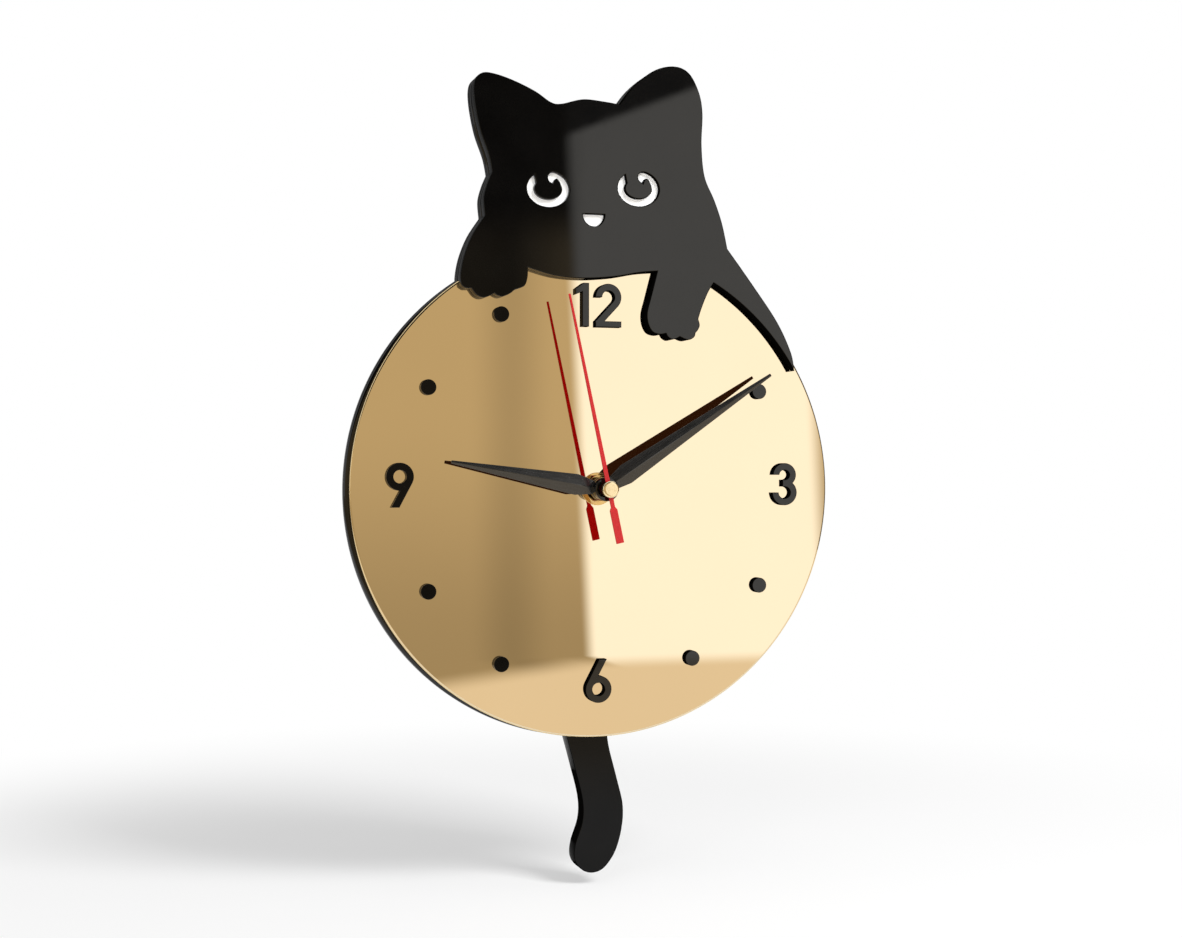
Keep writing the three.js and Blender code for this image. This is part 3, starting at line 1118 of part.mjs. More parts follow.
function pendulumCoil() {
  const front = CASE_INNER_FRONT - TAPE;
  const rear = MAGNET_FRONT + MAGNET_COIL_GAP;
  const wound = PENDULUM_COIL_RADIUS - CLEARANCE;
  return turned([
    [0, front], [PENDULUM_COIL_RADIUS, front], [PENDULUM_COIL_RADIUS, front - PENDULUM_COIL_FLANGE],
    [wound, front - PENDULUM_COIL_FLANGE], [wound, rear + PENDULUM_COIL_FLANGE],
    [PENDULUM_COIL_RADIUS, rear + PENDULUM_COIL_FLANGE], [PENDULUM_COIL_RADIUS, rear], [0, rear],
  ]);
}

function pendulumLever() {
  const arm = rectangle(-LEVER_HALF_WIDTH, LEVER_HALF_WIDTH, LEVER_END_Z, PIVOT_Z);
  return cut(
    joined(
      plate(arm, LEVER_REAR, LEVER_FRONT),
      rod(LEVER_EYE_RADIUS, LEVER_REAR, LEVER_FRONT, HUB_SIDES, 0, PIVOT_Z),
      rod(MAGNET_RADIUS + CLEARANCE, LEVER_REAR, LEVER_FRONT, HUB_SIDES, 0, MAGNET_Z),
    ),
    rod(PIN_RADIUS + RUNNING, LEVER_REAR - OVERCUT, LEVER_FRONT + OVERCUT, SHAFT_SIDES, 0, PIVOT_Z),
    rod(TAIL_SCREW_RADIUS + TAPE, LEVER_REAR - OVERCUT, LEVER_FRONT + OVERCUT, SHAFT_SIDES, 0, TAIL_SCREW_Z),
  );
}

function tail() {
  const place = ([x, z]) => new THREE.Vector2(x, z - DIAL_RADIUS);
  const shape = new THREE.Shape();
  shape.moveTo(-TAIL_TAB_HALF_WIDTH, TAIL_TOP_Z);
  shape.lineTo(-TAIL_TAB_HALF_WIDTH, LEVER_END_Z);
  const start = place(TAIL_CURVE[0]);
  shape.lineTo(start.x, start.y);
  shape.splineThru(TAIL_CURVE.slice(1).map(place));
  shape.lineTo(TAIL_TAB_HALF_WIDTH, LEVER_END_Z);
  shape.lineTo(TAIL_TAB_HALF_WIDTH, TAIL_TOP_Z);
  shape.holes.push(new THREE.Path(polygon(SHAFT_SIDES, TAIL_SCREW_RADIUS + TAPE, 0, TAIL_SCREW_Z)));
  return plate(shape, TAIL_REAR, TAIL_FRONT);
}

function tailScrew() {
  const seat = TAIL_FRONT + TAPE;
  const end = LEVER_REAR - TAPE - TAIL_NUT_HEIGHT - CLEARANCE;
  const top = seat + TAIL_SCREW_HEAD_HEIGHT;
  return turned([
    [0, top], [TAIL_SCREW_HEAD, top], [TAIL_SCREW_HEAD, seat],
    [TAIL_SCREW_RADIUS, seat], [TAIL_SCREW_RADIUS, end], [0, end],
  ], SHAFT_SIDES);
}

function tailNut() {
  const shape = new THREE.Shape(polygon(6, TAIL_NUT_RADIUS));
  shape.holes.push(new THREE.Path(polygon(SHAFT_SIDES, TAIL_SCREW_RADIUS + TAPE)));
  return plate(shape, LEVER_REAR - TAPE - TAIL_NUT_HEIGHT, LEVER_REAR - TAPE);
}

add('pendulum_coil', pendulumCoil(), 0xa0552a, 0.45, 0.6, 0, MAGNET_Z);
add('pendulum_lever', pendulumLever(), 0xd8d4c8, 0.5, 0);
const magnet = rod(MAGNET_RADIUS, LEVER_FRONT + TAPE, MAGNET_FRONT, HUB_SIDES);
add('pendulum_magnet', magnet, 0x9a9a9a, 0.3, 1, 0, MAGNET_Z);
add('pendulum_pin', rod(PIN_RADIUS, PIN_REAR, PIN_FRONT), 0x9a9a9a, 0.3, 1, 0, PIVOT_Z);
add('tail', tail(), 0x242424, 0.12, 0);
add('tail_screw', tailScrew(), 0x9a9a9a, 0.35, 1, 0, TAIL_SCREW_Z);
add('tail_nut', tailNut(), 0x9a9a9a, 0.35, 1, 0, TAIL_SCREW_Z);

// Hanger: an upright plate with a keyhole, on a foot screwed to the case's top

function hangerPlate() {
  const foot = CASE_TOP + TAPE;
  const keyholeZ = CASE_TOP + KEYHOLE_RISE;
  const upright = rectangle(-HANGER_HALF_WIDTH, HANGER_HALF_WIDTH, foot, CASE_TOP + HANGER_HEIGHT);
  return cut(
    joined(
      plate(upright, 0, HANGER_THICKNESS),
      block(
        -HANGER_HALF_WIDTH, HANGER_HALF_WIDTH, 0, HANGER_THICKNESS + HANGER_FOOT, foot, foot + HANGER_THICKNESS,
      ),
    ),
    rod(KEYHOLE_RADIUS, -OVERCUT, HANGER_THICKNESS + OVERCUT, HUB_SIDES, 0, keyholeZ),
    block(-NAIL_HALF_WIDTH, NAIL_HALF_WIDTH, -OVERCUT, HANGER_THICKNESS + OVERCUT, keyholeZ, NAIL_Z),
    ...HANGER_SCREWS.map((x) => (
      verticalRod(SCREW_RADIUS + TAPE, x, foot - OVERCUT, foot + HANGER_THICKNESS + OVERCUT)
    )),
  );
}

function hangerScrew(x) {
  const seat = CASE_TOP + HANGER_THICKNESS + 2 * TAPE;
  return joined(
    verticalRod(SCREW_HEAD_RADIUS, x, seat, seat + SCREW_HEAD_HEIGHT),
    verticalRod(SCREW_RADIUS, x, seat - SCREW_LENGTH, seat + SCREW_HEAD_HEIGHT / 2),
  );
}

add('hanger_plate', hangerPlate(), 0xa8a8a8, 0.35, 1);
HANGER_SCREWS.forEach((x, i) => {
  add(`hanger_screw_${i + 1}`, hangerScrew(x), 0x9a9a9a, 0.35, 1);
});

export default clock;
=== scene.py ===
"""Looks of a cat pendulum wall clock: acrylic plates, mirror dial, hands, pendulum movement and a studio.

Metres, +Z up. The wall is the plane y = 0 and the dial faces -Y, so a depth d from the wall lies at y = -d.
Outlines are arrays of x and z in millimetres, seen from the front, and become metres when a piece is made.
"""

import math

import bmesh
import bpy
import numpy as np
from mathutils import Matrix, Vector
from mathutils.geometry import delaunay_2d_cdt


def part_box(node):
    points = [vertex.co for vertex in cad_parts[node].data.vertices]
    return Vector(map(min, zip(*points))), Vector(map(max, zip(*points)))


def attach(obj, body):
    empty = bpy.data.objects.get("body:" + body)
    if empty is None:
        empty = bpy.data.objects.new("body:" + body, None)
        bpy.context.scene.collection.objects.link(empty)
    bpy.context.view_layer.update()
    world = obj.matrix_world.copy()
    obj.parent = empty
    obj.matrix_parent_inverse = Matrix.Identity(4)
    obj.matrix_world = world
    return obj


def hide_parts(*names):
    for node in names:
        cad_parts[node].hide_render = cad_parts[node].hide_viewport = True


bl_info = {
    "name": "Cat pendulum clock",
    "version": (1, 0, 0),
    "blender": (4, 5, 0),
    "location": "3D View > Sidebar > Clock",
    "description": "Makes the plates, dial, hands, movement and stage of a cat pendulum wall clock",
    "category": "Object",
}

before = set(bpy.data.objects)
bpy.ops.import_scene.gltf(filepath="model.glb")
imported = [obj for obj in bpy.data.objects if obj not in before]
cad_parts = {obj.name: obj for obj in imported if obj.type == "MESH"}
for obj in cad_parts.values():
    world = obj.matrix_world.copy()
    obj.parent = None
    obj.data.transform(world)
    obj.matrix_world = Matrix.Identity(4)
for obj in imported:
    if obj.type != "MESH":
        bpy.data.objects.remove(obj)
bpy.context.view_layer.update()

MM = 0.001
BODY = "clock_body"
WELD = 1e-7  # points of a new piece nearer than this many metres are one
NODE_WELD = 1e-6  # the same for a node from the CAD
CAP_MERGE = 1e-6  # the same for the outline of a flat face, in millimetres
FLAT_FACE = 0.9999  # cos of the angle between a flat face and the dial's axis
FACE_OR_EDGE = 0.9  # above this a face is a front or a back, and below it an edge
LONGEST_EASE = 0.45  # share of the shorter edge that an eased corner may take
BEVEL_SEGMENTS = 2
NODE_BEVEL_ANGLE = 40.0

# Sides of turned pieces and round holes
DIAL_SIDES = 360
BRASS_SIDES = 96
HUB_SIDES = 72
CELL_SIDES = 72
SECOND_HUB_SIDES = 64
SMALL_SIDES = 48
HOLE_SIDES = 32
SHAFT_SIDES = 24

# Cat's outline in runs that meet at corners, clockwise. x is from the dial's axis and z from the chin.
LEFT_FLANK = [(-56.7, -4.2), (-57.2, -0.2), (-55.7, 7.6), (-52.3, 16), (-47.4, 23.5)]
LEFT_CHEEK = [(-47.4, 23.5), (-47.9, 30.4), (-46.4, 36.3), (-44.5, 40.8)]
LEFT_EAR_AND_CROWN = [
    (-44.5, 40.8), (-45.9, 47.6), (-49.4, 57.5), (-51.6, 68.8), (-51.5, 76.2), (-48.4, 79.5), (-43.5, 79.5),
    (-35.7, 77.3), (-26.8, 73.5), (-20.5, 69.6), (-16.1, 69.2), (-7.2, 71.5), (1.6, 71.1), (8.2, 70.3),
]
RIGHT_EAR_AND_SIDE = [
    (8.2, 70.3), (14.4, 78.3), (22.8, 84.9), (31.2, 87.1), (37.6, 84.8), (41.9, 77.3), (43.5, 68.7),
    (43.1, 55.8), (44.4, 43.1), (48.7, 33.4), (52, 24.1), (54.3, 13.9),
]
RIGHT_ARM_OUTSIDE = [(45.7, -4.6), (43.1, -10.8), (41.7, -15.1)]
RIGHT_TOE_OUTER = [(41.7, -15.1), (42.3, -17.6), (41.6, -19.5), (40.5, -20.8)]
RIGHT_TOE_THIRD = [(40.5, -20.8), (40, -22.4), (38.1, -23.6), (36.1, -23.5), (33.7, -22.5)]
RIGHT_TOE_SECOND = [(33.7, -22.5), (31.9, -23.4), (30.2, -23.6), (28.5, -22.6), (27.7, -21.3)]
RIGHT_ARM_INSIDE = [
    (27.7, -21.3), (24.9, -21.7), (21.8, -20.6), (20, -17.2), (19.7, -12.7), (21.2, -6.8), (24, 3.8),
]
CHIN = [(24, 3.8), (16.4, 3), (5.6, 1), (-7.2, 0), (-19, 0.8), (-29.9, 3.6)]
LEFT_ARM_INSIDE = [(-29.9, 3.6), (-30, -0.1), (-31, -3.4), (-33.1, -4.7), (-35.2, -5.3)]
LEFT_TOE_THIRD = [(-35.2, -5.3), (-37.1, -6.9), (-40.1, -8.2), (-42.2, -7.8), (-43.5, -7)]
LEFT_TOE_SECOND = [(-43.5, -7), (-45.9, -8.3), (-48.4, -8.8), (-50.8, -7.7), (-52.7, -5.3)]
LEFT_TOE_OUTER = [(-52.7, -5.3), (-55, -5.3), (-56.7, -4.2)]
HEAD_RUNS = [LEFT_FLANK, LEFT_CHEEK, LEFT_EAR_AND_CROWN, RIGHT_EAR_AND_SIDE]
PAW_RUNS = [
    RIGHT_TOE_OUTER, RIGHT_TOE_THIRD, RIGHT_TOE_SECOND, RIGHT_ARM_INSIDE, CHIN,
    LEFT_ARM_INSIDE, LEFT_TOE_THIRD, LEFT_TOE_SECOND, LEFT_TOE_OUTER,
]
HAUNCH_BACK = [(52.4, 6.4), (42.1, 2.6), (34.3, -0.3)]  # degrees round the dial, height above its rim
HAUNCH_OVERLAP = 3.1
HAUNCH_TIP_ANGLE = 30.1
HAUNCH_ARM_X = 48.3
CHIN_INSET = 15.8
BACK_INSET = 0.5  # how much smaller than the dial the black disc is all round
BACK_MIDDLE = (-2.3, -0.4)  # the black disc's middle, from the dial's

# Cat's face, from the chin
FACE_CENTRE_X = -2.7
EYE_SPACING = 37.6
EYE_HEIGHT = 35.9
EYE_LIFT = 0.9  # the right eye stands this much above that height, the left one below it
EYE_HALF_WIDTH = 8.75
EYE_HALF_DROP = 7.1
EYE_BAND = 3.0
EYE_OUTER_ANGLES = (130, 433)
EYE_INNER_ANGLES = (372, 150)
EYE_CURL = [(1, 6.6), (-0.1, 5), (0.3, 3.3), (1.9, 2.1)]
EYE_CURL_INSIDE = [(2.4, 3.5), (3.5, 4.3), (4.6, 3.2)]
MOUTH_HEIGHT = 25.8
MOUTH_HALF_WIDTH = 4.5
MOUTH_DROP = 4.9
INLAY_RECESS = 1.8
INLAY_CLEARANCE = 0.06
INLAY_ROUND = 0.1

# Front wall that the mirror shows, a painted reflection of a room, in metres: a softbox, a warm wall to its
# left and dark above both
SOFTBOX_LEFT = (0.230, 0.245)
SOFTBOX_RIGHT = (0.481, 0.4595)
SOFTBOX_LEAN = 0.05
SOFTBOX_TOP = (0.223, 0.213)
SOFTBOX_RISE = 0.41
SOFTBOX_LIGHT = (1.34, 1.3, 1.22)
WARM_TOP = (0.25, 0.2)
WARM_LIGHT = (0.643, 0.49, 0.279)
# Painted shade: the warm wall darker towards the floor and in a fold
WARM_FADE = (-0.162, 0.06)
WARM_LOWEST = 0.7
FOLD_PLACES = (0.13, 0.172, 0.215)
FOLD_PAINTED_SHADE = 0.21
DARK_LEFT = (0.008, 0.008, 0.008)
DARK_RIGHT = (0.07, 0.07, 0.07)

# Floor, in metres: its colours as they are seen and the painted reflection colours that the mirror shows, and
# how much is its own light
WHITE = (1, 1, 1)
FLOOR_PALE = (0.93, 0.93, 0.93)
FLOOR_MIRRORED = (0.793, 0.665, 0.479)
FLOOR_GLOW_MIRRORED = (0.975, 0.81, 0.592)
FLOOR_ROUGHNESS = 0.9
FLOOR_WARM = (-0.12, -0.42)
FLOOR_END = (-0.585, -0.705)  # where the floor turns into the wall, slanted as far as the bend
FLOOR_END_SLANT = 0.8
FLOOR_END_BEND = 0.22
OWN_LIGHT_PLACES = (0.22, 0.5)  # distances from the origin
OWN_LIGHT = (0.5, 1.0)
FLOOR_HALF_WIDTH = 4.0
FLOOR_BACK = 6.0
WALL_HALF_WIDTH = 1.6
WALL_TOP = 1.6

# Dark glowing cards that only reflections show, painted shade in polished edges: x and y of each one's ends,
# and their light near the floor and above
PAINTED_SHADE_FLAGS = {"flag_behind": [(-0.9, 0.35), (0.3, 0.35)], "flag_beside": [(0.8, 0.6), (0.8, -0.6)]}
FLAG_TOP = 0.7
FLAG_FADE = (0.0, 0.25)
FLAG_LOW = (0.3, 0.3, 0.3)
FLAG_HIGH = (0.1, 0.1, 0.1)

# Lamps as place in metres, size in metres and power in watts, all aimed at the origin, and the world's light
LAMPS = {
    "key": ((0.79, -1.13, 1.13), 0.68, 35),
    "fill": ((-1.0, -1.3, 0.3), 0.9, 9),
    "top": ((0.1, -0.3, 1.6), 1.0, 4),
}
WORLD_LIGHT = 0.15

# Camera
SENSOR_WIDTH = 36.0
CLIP_RANGE = (0.01, 50.0)

# Finishes
NOISE_MIDDLE = (0.3, 0.7)  # where most of a noise's values lie
ACRYLIC_IOR = 1.49
SHADE_STEP_PLACES = (-0.036, -0.006)  # where the black sheet's reflection steps from its left to its right strength, painted weaker on one side as shade, in metres from the axis
POLISHED = (0.02, 0.035)  # roughness of the black sheet's faces
SAWN = (0.2, 0.3)  # and of its cut edges
# Painted light: a glow that brightens the recessed white inlay
INLAY_PAINTED_LIGHT = (0.24, 0.25, 0.27)
# Painted light: glows on the hands' backs where the mirror throws light on them
BLACK_BACK_PAINTED_LIGHT = (0.025, 0.007, 0.002)
RED_BACK_PAINTED_LIGHT = (0.2, 0.0, 0.0)
CELL_BAND_COLOUR = (0.55, 0.42, 0.2)
CELL_BAND = (0.0116, 0.0124)  # where the band starts along x, in metres

# Fixing, screws and the cell, in millimetres and degrees
BORE_SHARE = 0.66  # radius of a plate's bore, as a share of the bush or washer on it
WASHER_BORE = 4.35
WASHER_EASE = 0.12
NUT_BORE = 4.15
NUT_CHAMFER = 28.0
NUT_EDGE = 0.1
NUT_SHARP = 20.0
NUT_BEVEL_ANGLE = 25.0
SCREW_CROSS = (0.2, 0.68)  # half width and reach of the cross, as shares of the head's radius
SCREW_HEAD = 0.7
SCREW_SHAFT = 0.9
SCREW_ROUND = 0.08
SCREW_EASE = 0.05
SCREW_EDGE = 0.15
HANGER_EDGE = 0.25
LEVER_EDGE = 0.25
MAGNET_EDGE = 0.2
CELL_NUB = (2.75, 1.4)  # radius and height
CELL_EASE = 0.6

# Tail below the dial, z from the dial's lowest point
TAIL_CURVE = [
    (-9.9, -0.9), (-6.4, -13.8), (-3.2, -26.8), (-3.2, -35.7), (-6.2, -45.1), (-6.4, -51.5), (-3, -55.9),
    (1.8, -57.1), (6.5, -55), (11, -48.6), (13.7, -39.2), (14.1, -29.9), (11.8, -19.9), (8.4, -7), (7.4, -1),
]
TAIL_TAB_HALF_WIDTH = 6.0
TAIL_SCREW_HOLE = 1.6

# Numerals, drawn round their own middle
NUMERAL_STROKE = 2.85
ONE_FLAG = 2.4
TWO_BASE = 2.4
TWO_SLANT = 43.0
THREE_LOWER_HALF = 5.3
THREE_STEP = 0.35
THREE_STUB = 0.9
NINE_SLANT = 28.0

# Hands, pointing at twelve before they are turned, in millimetres and degrees
HOUR_HAND = {"length": 62.2, "turn": 280.0, "bore": 2.6}
MINUTE_HAND = {"length": 85.0, "turn": 56.8, "bore": 1.75}
SECOND_HAND_TURN = 348.0
BLADE_STATIONS = [(3.2, 2.6), (10.8, 4.2)]  # way along the blade, half its width there
BLADE_TIP_HALF_WIDTH = 0.6
BLADE_EDGE = 0.4
BLADE_RIDGE_SLOPE = 0.22
BLADE_SHARP = 12.0
BLADE_BEVEL_ANGLE = 18.0
HAND_HUB_RADIUS = 4.8
HAND_HUB_BEHIND = 0.9
HAND_HUB_EASE = 0.35
SECOND_HAND_OUTLINE = [(1.6, -21.8), (1.6, -8.4), (0.85, -7.2), (0.95, 0), (0.45, 78.3)]
SECOND_HUB_RADIUS = 2.5
SECOND_BORE = 1.7
SECOND_EASE = 0.25
SECOND_ROUND = 0.15
SECOND_INSET = 0.03  # how much thinner than the hub the blade is on each face
CAP_BORE = 0.9
CAP_SLEEVE = 1.6
CAP_GAP = 0.1  # from the hand to the cap, and from there to the end of the bore
CAP_DOME = [(0, 0.35), (0.35, 0.06), (0.8, 0)]  # way in from the rim, drop from the top
CAP_EASE = 0.14

# Nodes inside the movement that keep their shape, by finish
DRESSED_INSIDE = {
    "acetal": (
        "third_wheel", "fifth_wheel", "rotor", "centre_wheel", "motion_wheel", "hour_wheel", "bearing_plate",
    ),
    "brass": ("minute_arbor",),
    "steel": ("stator", "quartz_crystal", "battery_contact_positive", "battery_contact_negative"),
    "copper": ("motor_coil", "pendulum_coil"),
    "board": ("circuit_board",),
}


def nodes_like(start):
    """Names of the nodes that start so."""
    return [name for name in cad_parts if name.startswith(start)]


def node_depths(node):
    """Depths of a node's back and front from the wall, in millimetres."""
    low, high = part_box(node)
    return -high.y / MM, -low.y / MM


def node_middle(node):
    """Middle of a node in x and z, in millimetres."""
    low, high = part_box(node)
    return (low.x + high.x) / 2 / MM, (low.z + high.z) / 2 / MM


def node_size(node):
    """Size of a node along x, y and z, in millimetres."""
    low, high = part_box(node)
    return (high - low) / MM


DIAL_RADIUS = node_size("dial_plate").x / 2
CHIN_Z = DIAL_RADIUS - CHIN_INSET


# Outlines


def smooth_run(points, steps):
    """Catmull-Rom curve, a cubic between each two points with the ends doubled, without its last point."""
    knots = np.asarray(points, float)
    padded = np.vstack([knots[:1], knots, knots[-1:]])
    start, end = padded[1:-2, None], padded[2:-1, None]
    leave = (padded[2:-1] - padded[:-3])[:, None] / 2
    arrive = (padded[3:] - padded[1:-2])[:, None] / 2
    t = np.linspace(0, 1, steps, endpoint=False)[None, :, None]
    cubic = 2 * start - 2 * end + leave + arrive
    square = -3 * start + 3 * end - 2 * leave - arrive
    return (cubic * t**3 + square * t**2 + leave * t + start).reshape(-1, 2)


def arc(x, z, half_width, half_height, start, end, steps):
    """Points of an ellipse between two angles in degrees: x + a cos t, z + b sin t."""
    angle = np.radians(np.linspace(start, end, steps + 1))
    return np.stack([x + half_width * np.cos(angle), z + half_height * np.sin(angle)], 1)


def polar(radius, degrees):
    """One point at an angle from +x."""
    angle = math.radians(degrees)
    return (radius * math.cos(angle), radius * math.sin(angle))


def eased(corners, radius, steps=4, closed=True):
    """Each corner of a polyline replaced by a quadratic curve that starts and ends radius away from it."""
    corner = np.asarray(corners, float)
    before = np.roll(corner, 1, 0) - corner
    after = np.roll(corner, -1, 0) - corner
    long_before = np.linalg.norm(before, axis=1)[:, None]
    long_after = np.linalg.norm(after, axis=1)[:, None]
    reach = np.minimum(radius, LONGEST_EASE * np.minimum(long_before, long_after))
    start = (corner + before / long_before * reach)[:, None]
    end = (corner + after / long_after * reach)[:, None]
    t = np.linspace(0, 1, steps + 1)[None, :, None]
    curve = (1 - t) ** 2 * start + 2 * t * (1 - t) * corner[:, None] + t**2 * end
    if closed:
        return curve.reshape(-1, 2)
    return np.vstack([corner[:1], curve[1:-1].reshape(-1, 2), corner[-1:]])


def divided(loop, longest):
    """The loop with its long edges cut into equal lengths."""
    step = np.roll(loop, -1, 0) - loop
    parts = np.ceil(np.linalg.norm(step, axis=1) / longest).astype(int)
    order = np.arange(parts.sum()) - np.repeat(np.cumsum(parts) - parts, parts)
    return np.repeat(loop, parts, 0) + np.repeat(step / parts[:, None], parts, 0) * order[:, None]


def loop_area(loop):
    """Signed area of a closed loop, positive when it runs counterclockwise."""
    after = np.roll(loop, -1, 0)
    return (loop[:, 0] * after[:, 1] - after[:, 0] * loop[:, 1]).sum() / 2


def as_outer(loop):
    """The loop run counterclockwise, with the material on its left."""
    return loop if loop_area(loop) > 0 else loop[::-1]


def as_hole(loop):
    """The loop run clockwise, with the material on its left."""
    return loop if loop_area(loop) < 0 else loop[::-1]


def within(loop, node):
    """The loop held inside a node's box, which a finer curve may pass by a hair."""
    low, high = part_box(node)
    return np.clip(loop, (low.x / MM, low.z / MM), (high.x / MM, high.z / MM))


def head_outline(steps):
    """The cat's head and back, clockwise from the left paw to the tip of the haunch."""
    runs = [smooth_run(np.add(run, (0, CHIN_Z)), steps) for run in HEAD_RUNS]
    back = [np.add(RIGHT_EAR_AND_SIDE[-1], (0, CHIN_Z))]
    back += [polar(DIAL_RADIUS + height, degrees) for degrees, height in HAUNCH_BACK]
    tip = polar(DIAL_RADIUS - HAUNCH_OVERLAP, HAUNCH_TIP_ANGLE)
    return np.vstack([*runs, smooth_run([*back, tip], steps), [tip]])


def cat_outline(steps):
    """The whole cat: the head, the haunch's arc over the rim, both arms with their toes and the chin."""
    radius = DIAL_RADIUS - HAUNCH_OVERLAP
    arm_angle = math.degrees(math.acos(HAUNCH_ARM_X / radius))
    haunch = arc(0, 0, radius, radius, HAUNCH_TIP_ANGLE, arm_angle, 8 * steps)
    arm = np.vstack([haunch[-1:], np.add(RIGHT_ARM_OUTSIDE, (0, CHIN_Z))])
    paws = [smooth_run(np.add(run, (0, CHIN_Z)), steps) for run in PAW_RUNS]
    whole = np.vstack([head_outline(steps)[:-1], haunch[:-1], smooth_run(arm, steps), *paws])
    return as_outer(within(whole, "cat_plate"))


def eye_outline(x, z, steps):
    """A crescent open at its upper left whose outer end curls in: two elliptic arcs joined by two curves."""
    outer = arc(0, 0, EYE_HALF_WIDTH, EYE_HALF_DROP, *EYE_OUTER_ANGLES, 12 * steps)
    inner = arc(0, 0, EYE_HALF_WIDTH - EYE_BAND, EYE_HALF_DROP - EYE_BAND, *EYE_INNER_ANGLES, 10 * steps)
    curl = smooth_run([outer[-1], *EYE_CURL], steps)
    inside = smooth_run([EYE_CURL[-1], *EYE_CURL_INSIDE], steps)
    return as_hole(np.vstack([outer[:-1], curl, inside, EYE_CURL_INSIDE[-1:], inner]) + (x, z))


def face_openings(steps):
    """Both eyes and the mouth, as holes."""
    eyes = [
        eye_outline(FACE_CENTRE_X + side * EYE_SPACING / 2, CHIN_Z + EYE_HEIGHT + side * EYE_LIFT, steps)
        for side in (-1, 1)
    ]
    mouth = arc(FACE_CENTRE_X, CHIN_Z + MOUTH_HEIGHT, MOUTH_HALF_WIDTH, MOUTH_DROP, 180, 360, 8 * steps)
    return [*eyes, as_hole(mouth)]


def back_outline(steps):
    """A circle a little smaller than the dial and to its left, joined with what the head adds beyond it."""
    radius = DIAL_RADIUS - BACK_INSET
    head = head_outline(steps) - BACK_MIDDLE
    beyond = head[np.hypot(head[:, 0], head[:, 1]) >= radius]
    first, last = np.degrees(np.arctan2(beyond[[0, -1], 1], beyond[[0, -1], 0]))
    rim = arc(0, 0, radius, radius, last, first - 360, 40 * steps)
    return as_outer(within(np.vstack([beyond, rim[1:-1]]) + BACK_MIDDLE, "back_plate"))


def circle(radius, steps, x=0.0, z=0.0):
    """A full circle, counterclockwise."""
    return arc(x, z, radius, radius, 0, 360, steps)[:-1]


def tail_outline(steps):
    """The tab behind the dial and the curved tail below it."""
    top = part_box("tail")[1].z / MM
    tab_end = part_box("pendulum_lever")[0].z / MM
    curve = smooth_run(np.subtract(TAIL_CURVE, (0, DIAL_RADIUS)), steps)
    last = np.subtract(TAIL_CURVE[-1:], (0, DIAL_RADIUS))
    half = TAIL_TAB_HALF_WIDTH
    tab = [(half, tab_end), (half, top), (-half, top), (-half, tab_end)]
    return as_outer(within(np.vstack([curve, last, tab]), "tail"))


def one_outline(rise, width):
    """A stem with a flag at its upper left."""
    right = width / 2
    stem = right - NUMERAL_STROKE
    return [as_outer(np.array([
        (right, -rise), (right, rise), (right - ONE_FLAG, rise), (-right, rise - ONE_FLAG),
        (-right, rise - 2 * ONE_FLAG), (stem, rise - 1.5 * ONE_FLAG), (stem, -rise),
    ]))]


def two_outline(rise, side, steps):
    """A round bowl whose stroke runs straight down to the left end of a flat base."""
    middle = rise - side
    lean = math.radians(TWO_SLANT)
    leave = (side * math.cos(lean), middle - side * math.sin(lean))
    base = -rise + TWO_BASE
    foot = leave[0] - (leave[1] - base) * math.tan(lean)
    outer = arc(0, middle, side, side, 180, -TWO_SLANT, 6 * steps)
    inner = arc(0, middle, side - NUMERAL_STROKE, side - NUMERAL_STROKE, -TWO_SLANT, 180, 6 * steps)
    corners = [(foot, base), (side, base), (side, -rise), (-side, -rise), (-side, base)]
    return [as_outer(np.vstack([outer, corners, inner]))]


def three_outline(rise, side, steps):
    """Two bowls, each an elliptic stroke, that share a short stub at the waist."""
    upper = rise - THREE_LOWER_HALF + NUMERAL_STROKE / 2
    high, low = rise - upper, THREE_LOWER_HALF - rise
    narrow = side - THREE_STEP
    waist = rise - 2 * upper
    top = arc(0, high, narrow, upper, 180, -90, 8 * steps)
    bottom = arc(0, low, side, THREE_LOWER_HALF, 90, -180, 8 * steps)
    top = top[(top[:, 0] / side) ** 2 + ((top[:, 1] - low) / THREE_LOWER_HALF) ** 2 >= 1]
    bottom = bottom[(bottom[:, 0] / narrow) ** 2 + ((bottom[:, 1] - high) / upper) ** 2 >= 1]
    stroke = NUMERAL_STROKE
    inner_low = arc(0, low, side - stroke, THREE_LOWER_HALF - stroke, -180, 90, 8 * steps)
    inner_high = arc(0, high, narrow - stroke, upper - stroke, -90, 180, 8 * steps)
    stub = [(-THREE_STUB, waist), (-THREE_STUB, waist + stroke)]
    return [as_outer(np.vstack([top, bottom, inner_low, stub, inner_high]))]


def nine_outline(rise, side, steps):
    """A ring whose right side leaves it as a straight limb that slants down to the left."""
    middle = rise - side
    inner = side - NUMERAL_STROKE
    lean = math.radians(NINE_SLANT)
    reach = math.sqrt(side**2 - inner**2)
    meet = math.degrees(math.atan2(reach, inner)) + NINE_SLANT
    leave = (side * math.cos(lean), middle - side * math.sin(lean))
    foot = leave[0] - (leave[1] + rise) * math.tan(lean)
    bowl = arc(0, middle, side, side, -NINE_SLANT, 360 - meet, 8 * steps)
    limb = [(foot - NUMERAL_STROKE / math.cos(lean), -rise), (foot, -rise)]
    return [as_outer(np.vstack([bowl, limb])), as_hole(circle(inner, 8 * steps, 0, middle))]


# Surfaces. Each returns its points in metres and its faces.


def ring_faces(rows, columns):
    """Quads of a grid whose columns run round, facing out where the rows run from back to front."""
    row = np.arange(rows - 1)[:, None] * columns
    here = np.arange(columns)
    after = np.roll(here, -1)
    quads = [row + here, row + after, row + columns + after, row + columns + here]
    return np.stack(quads, -1).reshape(-1, 4)


